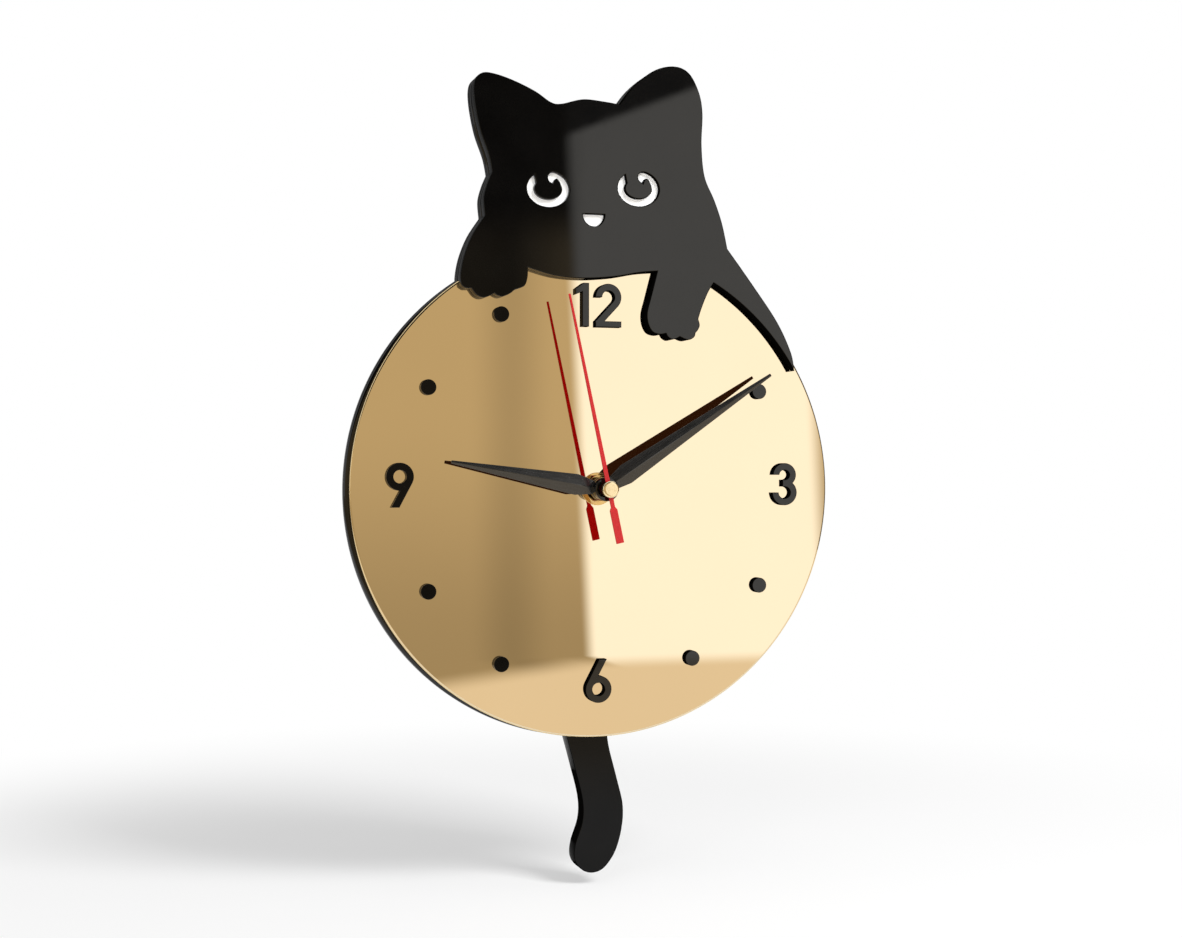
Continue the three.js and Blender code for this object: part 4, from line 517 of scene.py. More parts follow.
def outward(loop):
    """Mitred normal at each point of a loop, away from the material on its left, at most two long."""
    step = np.roll(loop, -1, 0) - loop
    step = step / np.linalg.norm(step, axis=1)[:, None]
    after = np.stack([step[:, 1], -step[:, 0]], 1)
    total = after + np.roll(after, 1, 0)
    return total / np.maximum((total**2).sum(1) / 2, 0.5)[:, None]


def corner_room(loop, sharp=35.0):
    """How far each point may move in: nothing at a sharp outer corner, more with the way from it."""
    step = np.roll(loop, -1, 0) - loop
    back = np.roll(step, 1, 0)
    turn = np.arctan2(back[:, 0] * step[:, 1] - back[:, 1] * step[:, 0], (back * step).sum(1))
    corner = np.flatnonzero(turn > math.radians(sharp))
    if len(corner) == 0:
        return np.full(len(loop), np.inf)
    length = np.linalg.norm(step, axis=1)
    along = np.cumsum(length) - length
    gap = np.abs(along[:, None] - along[corner][None])
    gap = np.minimum(gap, length.sum() - gap)
    return (gap * np.tan((np.pi - turn[corner]) / 2)).min(1)


def inside_loops(points, rings):
    """Which points lie inside an odd number of the loops, by the edges that a line to the right crosses."""
    x, z = points[:, :1], points[:, 1:]
    crossed = np.zeros(len(points), int)
    for ring in rings:
        after = np.roll(ring, -1, 0)
        spans = (ring[:, 1] > z) != (after[:, 1] > z)
        rise = np.where(after[:, 1] == ring[:, 1], 1, after[:, 1] - ring[:, 1])
        meets = ring[:, 0] + (after[:, 0] - ring[:, 0]) * (z - ring[:, 1]) / rise
        crossed += (spans & (x < meets)).sum(1)
    return crossed % 2 == 1


def cap_triangles(rings):
    """Triangles that fill closed loops, with the loops that lie inside others left open."""
    sizes = [len(ring) for ring in rings]
    first = np.cumsum([0, *sizes[:-1]])
    here = [np.arange(size) + at for size, at in zip(sizes, first)]
    edges = np.vstack([np.stack([run, np.roll(run, -1)], 1) for run in here])
    points = [Vector(point) for point in np.vstack(rings)]
    made, _, faces, sources, _, _ = delaunay_2d_cdt(points, edges.tolist(), [], 2, CAP_MERGE)
    crossings = [tuple(point) for point, source in zip(made, sources) if len(source) == 0]
    if crossings:
        raise RuntimeError(f"an outline crosses itself at {crossings[0]} mm")
    origin = np.array([source[0] for source in sources])
    flat = np.array([point[:] for point in made])
    triangles = np.array(faces)
    a, b, c = (flat[triangles[:, corner]] for corner in range(3))
    turned_over = (b[:, 0] - a[:, 0]) * (c[:, 1] - a[:, 1]) < (b[:, 1] - a[:, 1]) * (c[:, 0] - a[:, 0])
    triangles[turned_over] = triangles[turned_over][:, ::-1]
    return origin[triangles[inside_loops((a + b + c) / 3, rings)]]


def flat_plate(loops, rear, front, round_over, steps=4):
    """A plate cut to closed loops, its edges rounded over by a quarter circle at the back and the front.

    Ring k of a loop is the loop moved in along its mitred normal by r (1 - sin t) at the depth r (1 - cos t)
    from the face, and the innermost rings are filled as the two faces.
    """
    angle = np.linspace(0, np.pi / 2, steps + 1)
    inset = np.concatenate([1 - np.sin(angle), 1 - np.sin(angle[::-1])]) * round_over
    rise = (1 - np.cos(angle)) * round_over
    depth = np.concatenate([rear + rise, front - rise[::-1]])
    points, quads, back_ids, front_ids, innermost = [], [], [], [], []
    count = 0
    for loop in (divided(outline, 2 * round_over) for outline in loops):
        moved = np.minimum(inset[:, None], corner_room(loop)[None])
        flat = loop[None] - moved[..., None] * outward(loop)[None]
        y = np.broadcast_to(-depth[:, None], flat.shape[:2])
        points.append(np.stack([flat[..., 0], y, flat[..., 1]], -1).reshape(-1, 3))
        quads.append(ring_faces(len(depth), len(loop)) + count)
        back_ids.append(np.arange(len(loop)) + count)
        front_ids.append(np.arange(len(loop)) + count + (len(depth) - 1) * len(loop))
        innermost.append(flat[-1])
        count += flat.shape[0] * flat.shape[1]
    triangles = cap_triangles(innermost)
    front_face = np.concatenate(front_ids)[triangles]
    back_face = np.concatenate(back_ids)[triangles][:, ::-1]
    return np.vstack(points) * MM, [np.vstack(quads), front_face, back_face]


def turned(profile, sides, x=0.0, z=0.0):
    """A profile of radius and depth turned about an axis along Y: (x + r cos a, -d, z + r sin a)."""
    radius, depth = np.asarray(profile, float).T
    angle = np.linspace(0, 2 * np.pi, sides, endpoint=False)
    across = x + radius[:, None] * np.cos(angle)
    up = z + radius[:, None] * np.sin(angle)
    away = np.broadcast_to(-depth[:, None], across.shape)
    return np.stack([across, away, up], -1).reshape(-1, 3) * MM, [ring_faces(len(radius), sides)]


def collar(outer, inner, rear, front, ease, sides):
    """A turned ring of square section with eased corners."""
    section = eased([(outer, rear), (outer, front), (inner, front), (inner, rear)], ease)
    return turned(np.vstack([section, section[:1]]), sides)


def disc(radius, rear, front, ease, sides, x, z):
    """A turned disc with eased edges, closed on its axis."""
    profile = eased([(0, rear), (radius, rear), (radius, front), (0, front)], ease, closed=False)
    return turned(profile, sides, x, z)


def turned_on_x(profile, sides, depth, z):
    """A profile of radius and x turned about an axis along X: (x, -d + r cos a, z + r sin a)."""
    points, faces = turned(np.multiply(profile, (1, -1)), sides, -depth, z)
    return points[:, [1, 0, 2]], faces


def cross_screw(radius, rear, end, x, z):
    """A screw with a cross cut into its flat head: a pierced layer on a whole one, and a plain shaft."""
    bar, reach = radius * np.array(SCREW_CROSS)
    arm = np.array([(bar, bar), (bar, reach), (-bar, reach)])
    turn = np.array([(0, 1), (-1, 0)])
    arms = [arm @ np.linalg.matrix_power(turn, quarter) for quarter in range(4)]
    cut, shoulder = rear + SCREW_HEAD / 2, rear + SCREW_HEAD
    loops = [circle(radius, SMALL_SIDES, x, z), as_hole(np.vstack(arms)) + (x, z)]
    return [
        flat_plate(loops, rear, cut, SCREW_ROUND),
        disc(radius, cut, shoulder, SCREW_EASE, SMALL_SIDES, x, z),
        disc(SCREW_SHAFT, shoulder, end, SCREW_EASE, SHAFT_SIDES, x, z),
    ]


def turn_about_axis(surface, degrees):
    """The surface turned clockwise about the dial's axis, as seen from the front."""
    points, faces = surface
    angle = math.radians(degrees)
    x, y, z = points.T
    across = x * math.cos(angle) + z * math.sin(angle)
    up = z * math.cos(angle) - x * math.sin(angle)
    return np.stack([across, y, up], 1), faces


def hand_blade(length, rear):
    """A tapered blade: at each station two square edges and a ridge that rises with the half width."""
    stations = np.array([*BLADE_STATIONS, (length, BLADE_TIP_HALF_WIDTH)])
    way, half = stations[:, :1], stations[:, 1:]
    across = half * np.array([-1, -1, 0, 1, 1])
    height = np.array([0, BLADE_EDGE, BLADE_EDGE, BLADE_EDGE, 0])
    depth = rear + height + half * np.array([0, 0, BLADE_RIDGE_SLOPE, 0, 0])
    points = np.stack([across, -depth, np.broadcast_to(way, across.shape)], -1).reshape(-1, 3) * MM
    around = across.shape[1]
    sides = ring_faces(len(stations), around)
    root = np.arange(around)[None, ::-1]
    tip = np.arange(around)[None] + (len(stations) - 1) * around
    return points, [sides, root, tip]


def hex_nut(corner, bore, rear, front, sides):
    """A hexagon nut with a bored hole, whose corners are turned off at the front.

    The radius is the flat's distance over cos of the angle from its middle, and the front ring steps back by
    the part of it beyond the flat's distance.
    """
    angle = np.linspace(0, 2 * np.pi, sides, endpoint=False)
    flat = corner * math.cos(math.pi / 6)
    across = flat / np.cos((angle % (np.pi / 3)) - np.pi / 6)
    drop = (across - flat) * math.tan(math.radians(NUT_CHAMFER))
    even = np.ones(sides)
    radius = np.stack([bore * even, across, across, flat * even, bore * even, bore * even])
    depth = np.stack([rear * even, rear * even, front - drop, front * even, front * even, rear * even])
    points = np.stack([radius * np.cos(angle), -depth, radius * np.sin(angle)], -1).reshape(-1, 3) * MM
    return points, [ring_faces(len(radius), sides)]


# Pieces


def add_piece(name, body, surfaces, materials, stands_for, sharp=30.0, second_on="edges"):
    """One object from surfaces, welded, flat on its faces and smooth round its edges.

    With two materials the second goes on the edges, which are all faces that don't look along the dial's
    axis, or on the back, which are the faces that look at the wall.
    """
    points, faces, count = [], [], 0
    for surface_points, surface_faces in surfaces:
        points.append(surface_points)
        faces += [face for group in surface_faces for face in (group + count).tolist()]
        count += len(surface_points)
    mesh = bpy.data.meshes.new(name)
    mesh.from_pydata(np.vstack(points).tolist(), [], faces)
    work = bmesh.new()
    work.from_mesh(mesh)
    bmesh.ops.remove_doubles(work, verts=work.verts, dist=WELD)
    work.to_mesh(mesh)
    work.free()
    normals = np.empty(3 * len(mesh.polygons))
    mesh.polygons.foreach_get("normal", normals)
    towards_wall = normals.reshape(-1, 3)[:, 1]
    facing = np.abs(towards_wall)
    mesh.set_sharp_from_angle(angle=math.radians(sharp))
    mesh.polygons.foreach_set("use_smooth", facing < FLAT_FACE)
    for material in materials:
        mesh.materials.append(material)
    if len(materials) > 1:
        second = facing < FACE_OR_EDGE if second_on == "edges" else towards_wall > FACE_OR_EDGE
        mesh.polygons.foreach_set("material_index", second.astype(np.int32))
    piece = bpy.data.objects.new(name, mesh)
    bpy.context.collection.objects.link(piece)
    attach(piece, body)
    if stands_for:
        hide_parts(*stands_for)
    return piece


def bevelled(piece, width, angle):
    """Softens a piece's edges that are sharper than the angle."""
    bevel = piece.modifiers.new("soft edges", "BEVEL")
    bevel.width = width * MM
    bevel.segments = BEVEL_SEGMENTS
    bevel.limit_method = "ANGLE"
    bevel.angle_limit = math.radians(angle)


def dress(node, material, soften=0.0):
    """Gives a carried-over CAD node its finish, with softened edges where it shows."""
    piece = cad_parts[node]
    if piece.material_slots:
        piece.material_slots[0].material = material
    else:
        piece.data.materials.append(material)
    if soften:
        weld = piece.modifiers.new("joined corners", "WELD")
        weld.merge_threshold = NODE_WELD
        bevelled(piece, soften, NODE_BEVEL_ANGLE)


# Materials


def tinted(colour, factor):
    """A colour made lighter or darker."""
    return tuple(min(1.0, part * factor) for part in colour)


class Nodes:
    """A node tree with short ways to add its nodes."""

    def __init__(self, tree):
        self.tree = tree

    def put(self, value, socket):
        """Links a socket to another, or sets it to a number, a vector or a colour."""
        if isinstance(value, bpy.types.NodeSocket):
            self.tree.links.new(value, socket)
        else:
            socket.default_value = (*value, 1) if socket.type == "RGBA" else value

    def node(self, kind, inputs=None, **settings):
        """A node with its settings, whose inputs take numbers, vectors, colours or other sockets."""
        made = self.tree.nodes.new(kind)
        for key, value in settings.items():
            setattr(made, key, value)
        for key, value in (inputs or {}).items():
            self.put(value, made.inputs[key])
        return made

    def step(self, source, places, heights=(0.0, 1.0), kind="SMOOTHSTEP"):
        """A step between two places of a value, from one height to another."""
        inputs = {"Value": source}
        inputs.update(zip(("From Min", "From Max", "To Min", "To Max"), (*places, *heights)))
        return self.node("ShaderNodeMapRange", inputs, interpolation_type=kind).outputs["Result"]

    def joined(self, operation, first, second):
        """A math node on two values."""
        return self.node("ShaderNodeMath", {0: first, 1: second}, operation=operation).outputs[0]

    def blend(self, factor, first, second):
        """A colour between two, each given as numbers or as a socket."""
        inputs = {"Factor": factor, "A": first, "B": second}
        return self.node("ShaderNodeMix", inputs, data_type="RGBA").outputs["Result"]

    def glow(self, colour):
        """An emission of that colour."""
        return self.node("ShaderNodeEmission", {"Color": colour}).outputs[0]

    def seen_directly(self):
        """1 for camera, glossy and transmission rays, and 0 for the light that falls on things."""
        rays = self.node("ShaderNodeLightPath").outputs
        seen = self.joined("MAXIMUM", rays["Is Camera Ray"], rays["Is Glossy Ray"])
        return self.joined("MAXIMUM", seen, rays["Is Transmission Ray"])


class Finish(Nodes):
    """A material being wired on the piece's own coordinates."""

    def __init__(self, name):
        self.material = bpy.data.materials.new(name)
        self.material.use_nodes = True
        super().__init__(self.material.node_tree)
        self.shader = self.tree.nodes["Principled BSDF"]
        self.place = self.node("ShaderNodeTexCoord").outputs["Object"]
        self.x, self.y, self.z = self.node("ShaderNodeSeparateXYZ", {"Vector": self.place}).outputs

    def shade(self, **values):
        """Sets or links the shader's sockets, given with underscores for spaces."""
        for key, value in values.items():
            self.put(value, self.shader.inputs[key.replace("_", " ")])

    def surface(self, shader):
        """Shows another shader in place of the material's own."""
        self.put(shader, self.tree.nodes["Material Output"].inputs["Surface"])

    def mapped(self, where=None, **values):
        """Coordinates scaled or turned, the piece's own unless others are given."""
        return self.node("ShaderNodeMapping", {"Vector": where or self.place, **values}).outputs["Vector"]

    def noise(self, scale, detail=3.0, where=None):
        """A noise, on the piece's own coordinates unless others are given."""
        inputs = {"Scale": scale, "Detail": detail, "Vector": where or self.place}
        return self.node("ShaderNodeTexNoise", inputs).outputs["Fac"]

    def ramp(self, source, places, colours):
        """A colour that goes from one to another as a value goes between two places."""
        ramp = self.node("ShaderNodeValToRGB", {"Fac": source})
        for element, at, colour in zip(ramp.color_ramp.elements, places, colours):
            element.position = at
            element.color = (*colour, 1)
        return ramp.outputs["Color"]

    def tints(self, source, colour, factors, places=NOISE_MIDDLE):
        """Lets the base colour wander between two tints of a colour."""
        self.shade(Base_Color=self.ramp(source, places, [tinted(colour, factor) for factor in factors]))

    def gloss(self, source, ends):
        """Lets the roughness wander between two values."""
        self.shade(Roughness=self.step(source, NOISE_MIDDLE, ends, "LINEAR"))

    def bump(self, height, strength, distance):
        """Raises the surface by a pattern."""
        inputs = {"Strength": strength, "Distance": distance, "Height": height}
        self.shade(Normal=self.node("ShaderNodeBump", inputs).outputs["Normal"])


def plain_finish(name, colour, tints, gloss, grain=None, **sockets):
    """A finish whose tint and gloss each wander over a noise, given as its scale and two ends.

    A moulded or dusty one also has a grain: the scale of its noise, its strength and its depth.
    """
    finish = Finish(name)
    finish.shade(**sockets)
    finish.tints(finish.noise(tints[0]), colour, tints[1:])
    finish.gloss(finish.noise(gloss[0]), gloss[1:])
    if grain:
        scale, strength, depth = grain
        finish.bump(finish.noise(scale, 2), strength, depth)
    return finish.material


def black_acrylic(name, colour, shine_with_painted_shade, gloss):
    """Cast sheet: deep black with faint wiping marks, and its reflection at the clock's left and its right,
    one side painted weaker as shade.
    """
    finish = Finish(name)
    left, right = shine_with_painted_shade
    level = left if left == right else finish.step(finish.x, SHADE_STEP_PLACES, shine_with_painted_shade, "LINEAR")
    finish.shade(IOR=ACRYLIC_IOR, Specular_IOR_Level=level)
    finish.tints(finish.noise(60), colour, (0.8, 1.3))
    finish.gloss(finish.noise(1.0, 4, finish.mapped(Scale=(300, 300, 40))), gloss)
    return finish.material


def satin_black(name, colour, turn):
    """Black anodised hand: satin with a fine brushed grain along it, turned so many degrees from twelve."""
    finish = Finish(name)
    upright = finish.mapped(Rotation=(0, -math.radians(turn), 0))
    grain = finish.noise(1.0, 3, finish.mapped(upright, Scale=(3500, 3500, 120)))
    finish.shade(Specular_IOR_Level=0.75)
    finish.tints(grain, colour, (0.6, 1.5))
    finish.gloss(grain, (0.14, 0.24))
    finish.bump(grain, 0.12, 0.00003)
    return finish.material


def turned_brass(name, colour):
    """Brass with the fine rings of a lathe round the dial's axis."""
    finish = Finish(name)
    inputs = {"Scale": 900, "Distortion": 0.6, "Vector": finish.place}
    rings = finish.node("ShaderNodeTexWave", inputs, wave_type="RINGS", rings_direction="Y").outputs["Fac"]
    finish.shade(Metallic=1.0)
    finish.tints(finish.noise(300), colour, (0.93, 1.05))
    finish.gloss(rings, (0.1, 0.18))
    finish.bump(rings, 0.08, 0.00003)
    return finish.material


def zinc_steel(name, colour):
    """Plated steel with a fine rolled grain along x."""
    finish = Finish(name)
    grain = finish.noise(1.0, 3, finish.mapped(Scale=(60, 3000, 3000)))
    finish.shade(Metallic=1.0)
    finish.tints(grain, colour, (0.86, 1.1))
    finish.gloss(grain, (0.26, 0.42))
    finish.bump(grain, 0.1, 0.00004)
    return finish.material


def wound_copper(name, colour):
    """Enamelled wire: fine turns as bands along x, painted darker between turns and bright on each ridge as
    shade and highlight.
    """
    finish = Finish(name)
    inputs = {"Scale": 1600, "Vector": finish.place}
    turns = finish.node("ShaderNodeTexWave", inputs, wave_type="BANDS", bands_direction="X").outputs["Fac"]
    finish.shade(Metallic=0.9)
    finish.tints(turns, colour, (0.5, 1.1), (0.1, 0.8))
    finish.gloss(turns, (0.28, 0.4))
    finish.bump(turns, 0.5, 0.00008)
    return finish.material


def solder_mask(name, colour):
    """Circuit board lacquer with paler tracks under it."""
    finish = Finish(name)
    inputs = {"Scale": 260, "Mortar Size": 0.03, "Vector": finish.mapped(Rotation=(math.pi / 2, 0, 0))}
    for key, factor in (("Color1", 0.9), ("Color2", 1.05), ("Mortar", 1.9)):
        inputs[key] = tinted(colour, factor)
    finish.shade(Base_Color=finish.node("ShaderNodeTexBrick", inputs).outputs["Color"])
    finish.gloss(finish.noise(300), (0.25, 0.4))
    return finish.material


def cell_wrap(name, colour):
    """A plain printed sleeve: dark green with a pale band towards its positive end."""
    finish = Finish(name)
    band = finish.step(finish.x, CELL_BAND, kind="LINEAR")
    finish.shade(Metallic=0.3, Base_Color=finish.ramp(band, (0.0, 1.0), (colour, CELL_BAND_COLOUR)))
    finish.gloss(finish.noise(250), (0.22, 0.34))
    return finish.material


def made_once(name, maker, *values, **sockets):
    """The material of that name, made when it is first asked for."""
    return bpy.data.materials.get(name) or maker(name, *values, **sockets)


def plain_once(name, *values, **sockets):
    """The plain finish of that name, made when it is first asked for."""
    return made_once(name, plain_finish, *values, **sockets)


def back_once(name, colour, glow):
    """The matt back of a hand, with a glow as painted light where the mirror throws light on it."""
    return plain_once(
        name, colour, (150, 0.8, 1.15), (400, 0.6, 0.8),
        Specular_IOR_Level=0.0, Emission_Color=glow, Emission_Strength=1.0,
    )


class ClockFinishes:
    """The clock's materials, made from the panel's colours."""

    def __init__(self, scene):
        colours = scene.clock_colours
        sheet = colours.acrylic
        # The cat's and numerals' reflection is painted weaker at the clock's left, the sawn edges' at its
        # right, as shade
        self.black = made_once("polished_black_sheet", black_acrylic, sheet, (0.1, 0.5), POLISHED)
        self.back = made_once("polished_back_sheet", black_acrylic, sheet, (0.5, 0.5), POLISHED)
        self.tail = made_once("tail_black_sheet", black_acrylic, sheet, (0.17, 0.17), POLISHED)
        self.black_edge = made_once("black_sheet_edge", black_acrylic, sheet, (0.3, 0.0), SAWN)
        # A gold reflection with a slight haze, and its edge, where the gold shows pale through the acrylic
        self.gold = plain_once(
            "gold_mirror_sheet", colours.gold, (9, 0.98, 1.02), (14, 0.008, 0.02), Metallic=1.0,
        )
        self.gold_edge = plain_once(
            "gold_acrylic_edge", colours.gold_edge, (120, 0.92, 1.06), (300, 0.12, 0.2), Metallic=1.0,
        )
        # A soft gloss, with painted light: a glow that brightens the white in its recesses
        self.white = plain_once(
            "white_inlay_sheet", colours.inlay, (40, 0.97, 1.02), (90, 0.25, 0.35),
            Emission_Color=INLAY_PAINTED_LIGHT, Emission_Strength=1.0,
        )
        self.hour_hand = made_once("hour_hand_black", satin_black, colours.hands, HOUR_HAND["turn"])
        self.minute_hand = made_once("minute_hand_black", satin_black, colours.hands, MINUTE_HAND["turn"])
        self.hands_back = back_once("black_hand_back", colours.hands, BLACK_BACK_PAINTED_LIGHT)
        self.red = plain_once("red_lacquer", colours.second_hand, (200, 0.92, 1.05), (500, 0.25, 0.38))
        self.red_back = back_once("red_hand_back", colours.second_hand, RED_BACK_PAINTED_LIGHT)
        self.brass = made_once("turned_brass", turned_brass, colours.brass)
        self.cap = made_once("cap_brass", turned_brass, colours.cap)
        self.case = plain_once(
            "moulded_case_plastic", colours.case, (50, 0.85, 1.15), (700, 0.45, 0.62), (4000, 0.25, 0.00008),
        )
        # Milky gear plastic
        self.acetal = plain_once(
            "moulded_acetal", colours.gears, (120, 0.93, 1.04), (500, 0.38, 0.52),
            Subsurface_Weight=0.15, Subsurface_Scale=0.001,
        )
        self.steel = made_once("zinc_plated_steel", zinc_steel, colours.steel)
        self.nickel = plain_once(
            "nickel_plate", colours.steel, (400, 0.92, 1.05), (900, 0.12, 0.22), Metallic=1.0,
        )
        self.copper = made_once("wound_copper", wound_copper, colours.copper)
        self.board = made_once("solder_mask", solder_mask, colours.board)
        self.cell = made_once("cell_wrap", cell_wrap, colours.cell)
        self.rubber = plain_once(
            "matt_rubber", colours.rubber, (180, 0.8, 1.6), (500, 0.75, 0.92), (3000, 0.3, 0.0001),
        )


# Settings


def colour_property(name, description, default):
    """A colour that the panel shows."""
    return bpy.props.FloatVectorProperty(
        name=name, description=description, subtype="COLOR", size=3, min=0.0, max=1.0, default=default,
    )


def length_property(name, description, default):
    """A length that the panel shows."""
    return bpy.props.FloatProperty(
        name=name, description=description, unit="LENGTH", min=0.0, default=default,
    )


class ClockSizes(bpy.types.PropertyGroup):
    """Edge finishes of the clock's pieces."""

    plate_round: length_property("Plate edges", "Rounding of the black plates' edges", 0.35 * MM)
    back_round: length_property("Back plate edge", "Rounding of the back plate's edge", 1.2 * MM)
    dial_round: length_property("Dial edge", "Rounding of the dial's edge", 0.8 * MM)
    numeral_round: length_property("Numeral edges", "Rounding of the numerals and dots", 0.25 * MM)
    hand_round: length_property("Hand edges", "Softening of the hands' edges", 0.12 * MM)
    case_round: length_property("Case edges", "Softening of the movement's edges", 0.35 * MM)
    curve_steps: bpy.props.IntProperty(
        name="Curve steps", description="Points between two of an outline's points", min=2, max=24, default=8,
    )


class ClockColours(bpy.types.PropertyGroup):
    """Colours of the clock's finishes."""

    acrylic: colour_property("Acrylic", "Black acrylic of the cat", (0.0026, 0.0024, 0.0022))
    gold: colour_property("Gold mirror", "Reflection of the dial", (0.793, 0.68, 0.494))
    gold_edge: colour_property("Gold edge", "Edge of the dial", (0.85, 0.66, 0.36))
    inlay: colour_property("Inlay", "White behind the eyes and mouth", (0.86, 0.86, 0.84))
    hands: colour_property("Hands", "Hour and minute hands", (0.012, 0.012, 0.012))
    second_hand: colour_property("Second hand", "Second hand", (0.46, 0.012, 0.017))
    brass: colour_property("Brass", "Nut, washer and bush", (0.74, 0.5, 0.2))
    cap: colour_property("Cap", "Cap of the second hand", (0.93, 0.78, 0.5))
    case: colour_property("Case", "Movement case and cover", (0.02, 0.02, 0.021))
    gears: colour_property("Gears", "Wheels, lever and bearing plate", (0.74, 0.71, 0.63))
    steel: colour_property("Steel", "Screws, hanger and contacts", (0.58, 0.58, 0.59))
    copper: colour_property("Copper", "Windings", (0.62, 0.25, 0.11))
    board: colour_property("Board", "Circuit board", (0.02, 0.13, 0.055))
    cell: colour_property("Cell", "Sleeve of the cell", (0.012, 0.07, 0.035))
    rubber: colour_property("Rubber", "Gasket behind the back plate", (0.02, 0.02, 0.02))


class ClockStage(bpy.types.PropertyGroup):
    """Camera, floor and light."""

    azimuth: bpy.props.FloatProperty(
        name="Azimuth", description="Camera's angle to the left of the dial's axis", subtype="ANGLE",
        default=math.radians(16.4),
    )
    distance: length_property("Distance", "From the camera to the point it looks at", 0.7)
    lens: bpy.props.FloatProperty(
        name="Lens", description="Focal length on a sensor 36 mm wide", unit="CAMERA", default=52.96,
    )
    target: bpy.props.FloatVectorProperty(
        name="Target", description="Point the camera looks at", subtype="XYZ", unit="LENGTH", size=3,
        default=(-2.6 * MM, -27.0 * MM, 8.0 * MM),
    )
    floor: bpy.props.FloatProperty(
        name="Floor", description="Height of the floor", unit="LENGTH", default=-162.0 * MM,
    )
    front_wall: bpy.props.FloatProperty(
        name="Front wall", description="Where the floor ends and the softbox stands", unit="LENGTH",
        default=-0.873,
    )


# Operators


class CLOCK_OT_make_cat(bpy.types.Operator):
    """Makes the cat's front plate, the plate behind the dial and the layers between them."""

    bl_idname = "clock.make_cat"
    bl_label = "Cat and back plate"

    def execute(self, context):
        sizes = context.scene.clock_sizes
        finishes = ClockFinishes(context.scene)
        steps = sizes.curve_steps
        rear, front = node_depths("cat_plate")
        cat = flat_plate([cat_outline(steps), *face_openings(steps)], rear, front, sizes.plate_round / MM)
        coats = [finishes.black, finishes.black_edge]
        add_piece("cat_front", BODY, [cat], coats, ["cat_plate"])
        bore = as_hole(circle(node_size("threaded_bush").x / 2 * BORE_SHARE, SMALL_SIDES))
        back = flat_plate([back_outline(steps), bore], *node_depths("back_plate"), sizes.back_round / MM)
        add_piece("back_sheet", BODY, [back], [finishes.back], ["back_plate"])
        dress("head_spacer", finishes.back)
        dress("face_backing", finishes.white)
        seat, face = node_depths("face_backing")[1], front - INLAY_RECESS
        inlays = []
        for opening in face_openings(steps):
            outline = as_outer(opening)
            shrunk = outline - INLAY_CLEARANCE * outward(outline)
            inlays.append(flat_plate([shrunk], seat, face, INLAY_ROUND))
        add_piece("eye_and_mouth_inlays", BODY, inlays, [finishes.white], [])
        return {"FINISHED"}


class CLOCK_OT_make_dial(bpy.types.Operator):
    """Makes the mirror dial: a turned disc with a bored middle and a rounded rim."""

    bl_idname = "clock.make_dial"
    bl_label = "Dial"

    def execute(self, context):
        finishes = ClockFinishes(context.scene)
        bore = node_size("fixing_washer").x / 2 * BORE_SHARE
        ease = context.scene.clock_sizes.dial_round / MM
        dial = collar(DIAL_RADIUS, bore, *node_depths("dial_plate"), ease, DIAL_SIDES)
        coats = [finishes.gold, finishes.gold_edge]
        add_piece("mirror_dial", BODY, [dial], coats, ["dial_plate"])
        return {"FINISHED"}


class CLOCK_OT_make_numerals(bpy.types.Operator):
    """Makes the four numerals and the seven hour dots."""

    bl_idname = "clock.make_numerals"
    bl_label = "Numerals and dots"

    def execute(self, context):
        sizes = context.scene.clock_sizes
        finishes = ClockFinishes(context.scene)
        steps = sizes.curve_steps
        edge = sizes.numeral_round / MM
        coats = [finishes.black, finishes.black_edge]
        rise = node_size("numeral_3").z / 2
        side = node_size("numeral_3").x / 2
        nine = nine_outline(rise, side, steps)
        drawn = {
            "numeral_12_one": one_outline(rise, node_size("numeral_12_one").x),
            "numeral_12_two": two_outline(rise, side, steps),
            "numeral_3": three_outline(rise, side, steps),
            "numeral_6": [-loop for loop in nine],
            "numeral_9": nine,
        }
        for node, loops in drawn.items():
            placed = [loop + node_middle(node) for loop in loops]
            numeral = flat_plate(placed, *node_depths(node), edge)
            add_piece(node.replace("numeral", "figure"), BODY, [numeral], coats, [node])
        for node in nodes_like("hour_dot"):
            dot = disc(node_size(node).x / 2, *node_depths(node), edge, SMALL_SIDES, *node_middle(node))
            add_piece(node.replace("hour", "round"), BODY, [dot], coats, [node])
        return {"FINISHED"}


class CLOCK_OT_make_hands(bpy.types.Operator):
    """Makes the hour and minute hands: a ridged blade on a turned hub."""

    bl_idname = "clock.make_hands"
    bl_label = "Hour and minute hands"

    def execute(self, context):
        finishes = ClockFinishes(context.scene)
        soften = context.scene.clock_sizes.hand_round / MM
        for node, body, hand, coat in (
            ("hour_hand", "hour_train", HOUR_HAND, finishes.hour_hand),
            ("minute_hand", "minute_train", MINUTE_HAND, finishes.minute_hand),
        ):
            rear, front = node_depths(node)
            blade = turn_about_axis(hand_blade(hand["length"], rear + HAND_HUB_BEHIND), hand["turn"])
            coats = [coat, finishes.hands_back]
            name = node.replace("hand", "pointer")
            piece = add_piece(name, body, [blade], coats, [node], BLADE_SHARP, "back")
            bevelled(piece, soften, BLADE_BEVEL_ANGLE)
            hub = collar(HAND_HUB_RADIUS, hand["bore"], rear, front, HAND_HUB_EASE, HUB_SIDES)
            add_piece(node.replace("hand", "collet"), body, [hub], [finishes.black], [])
        return {"FINISHED"}


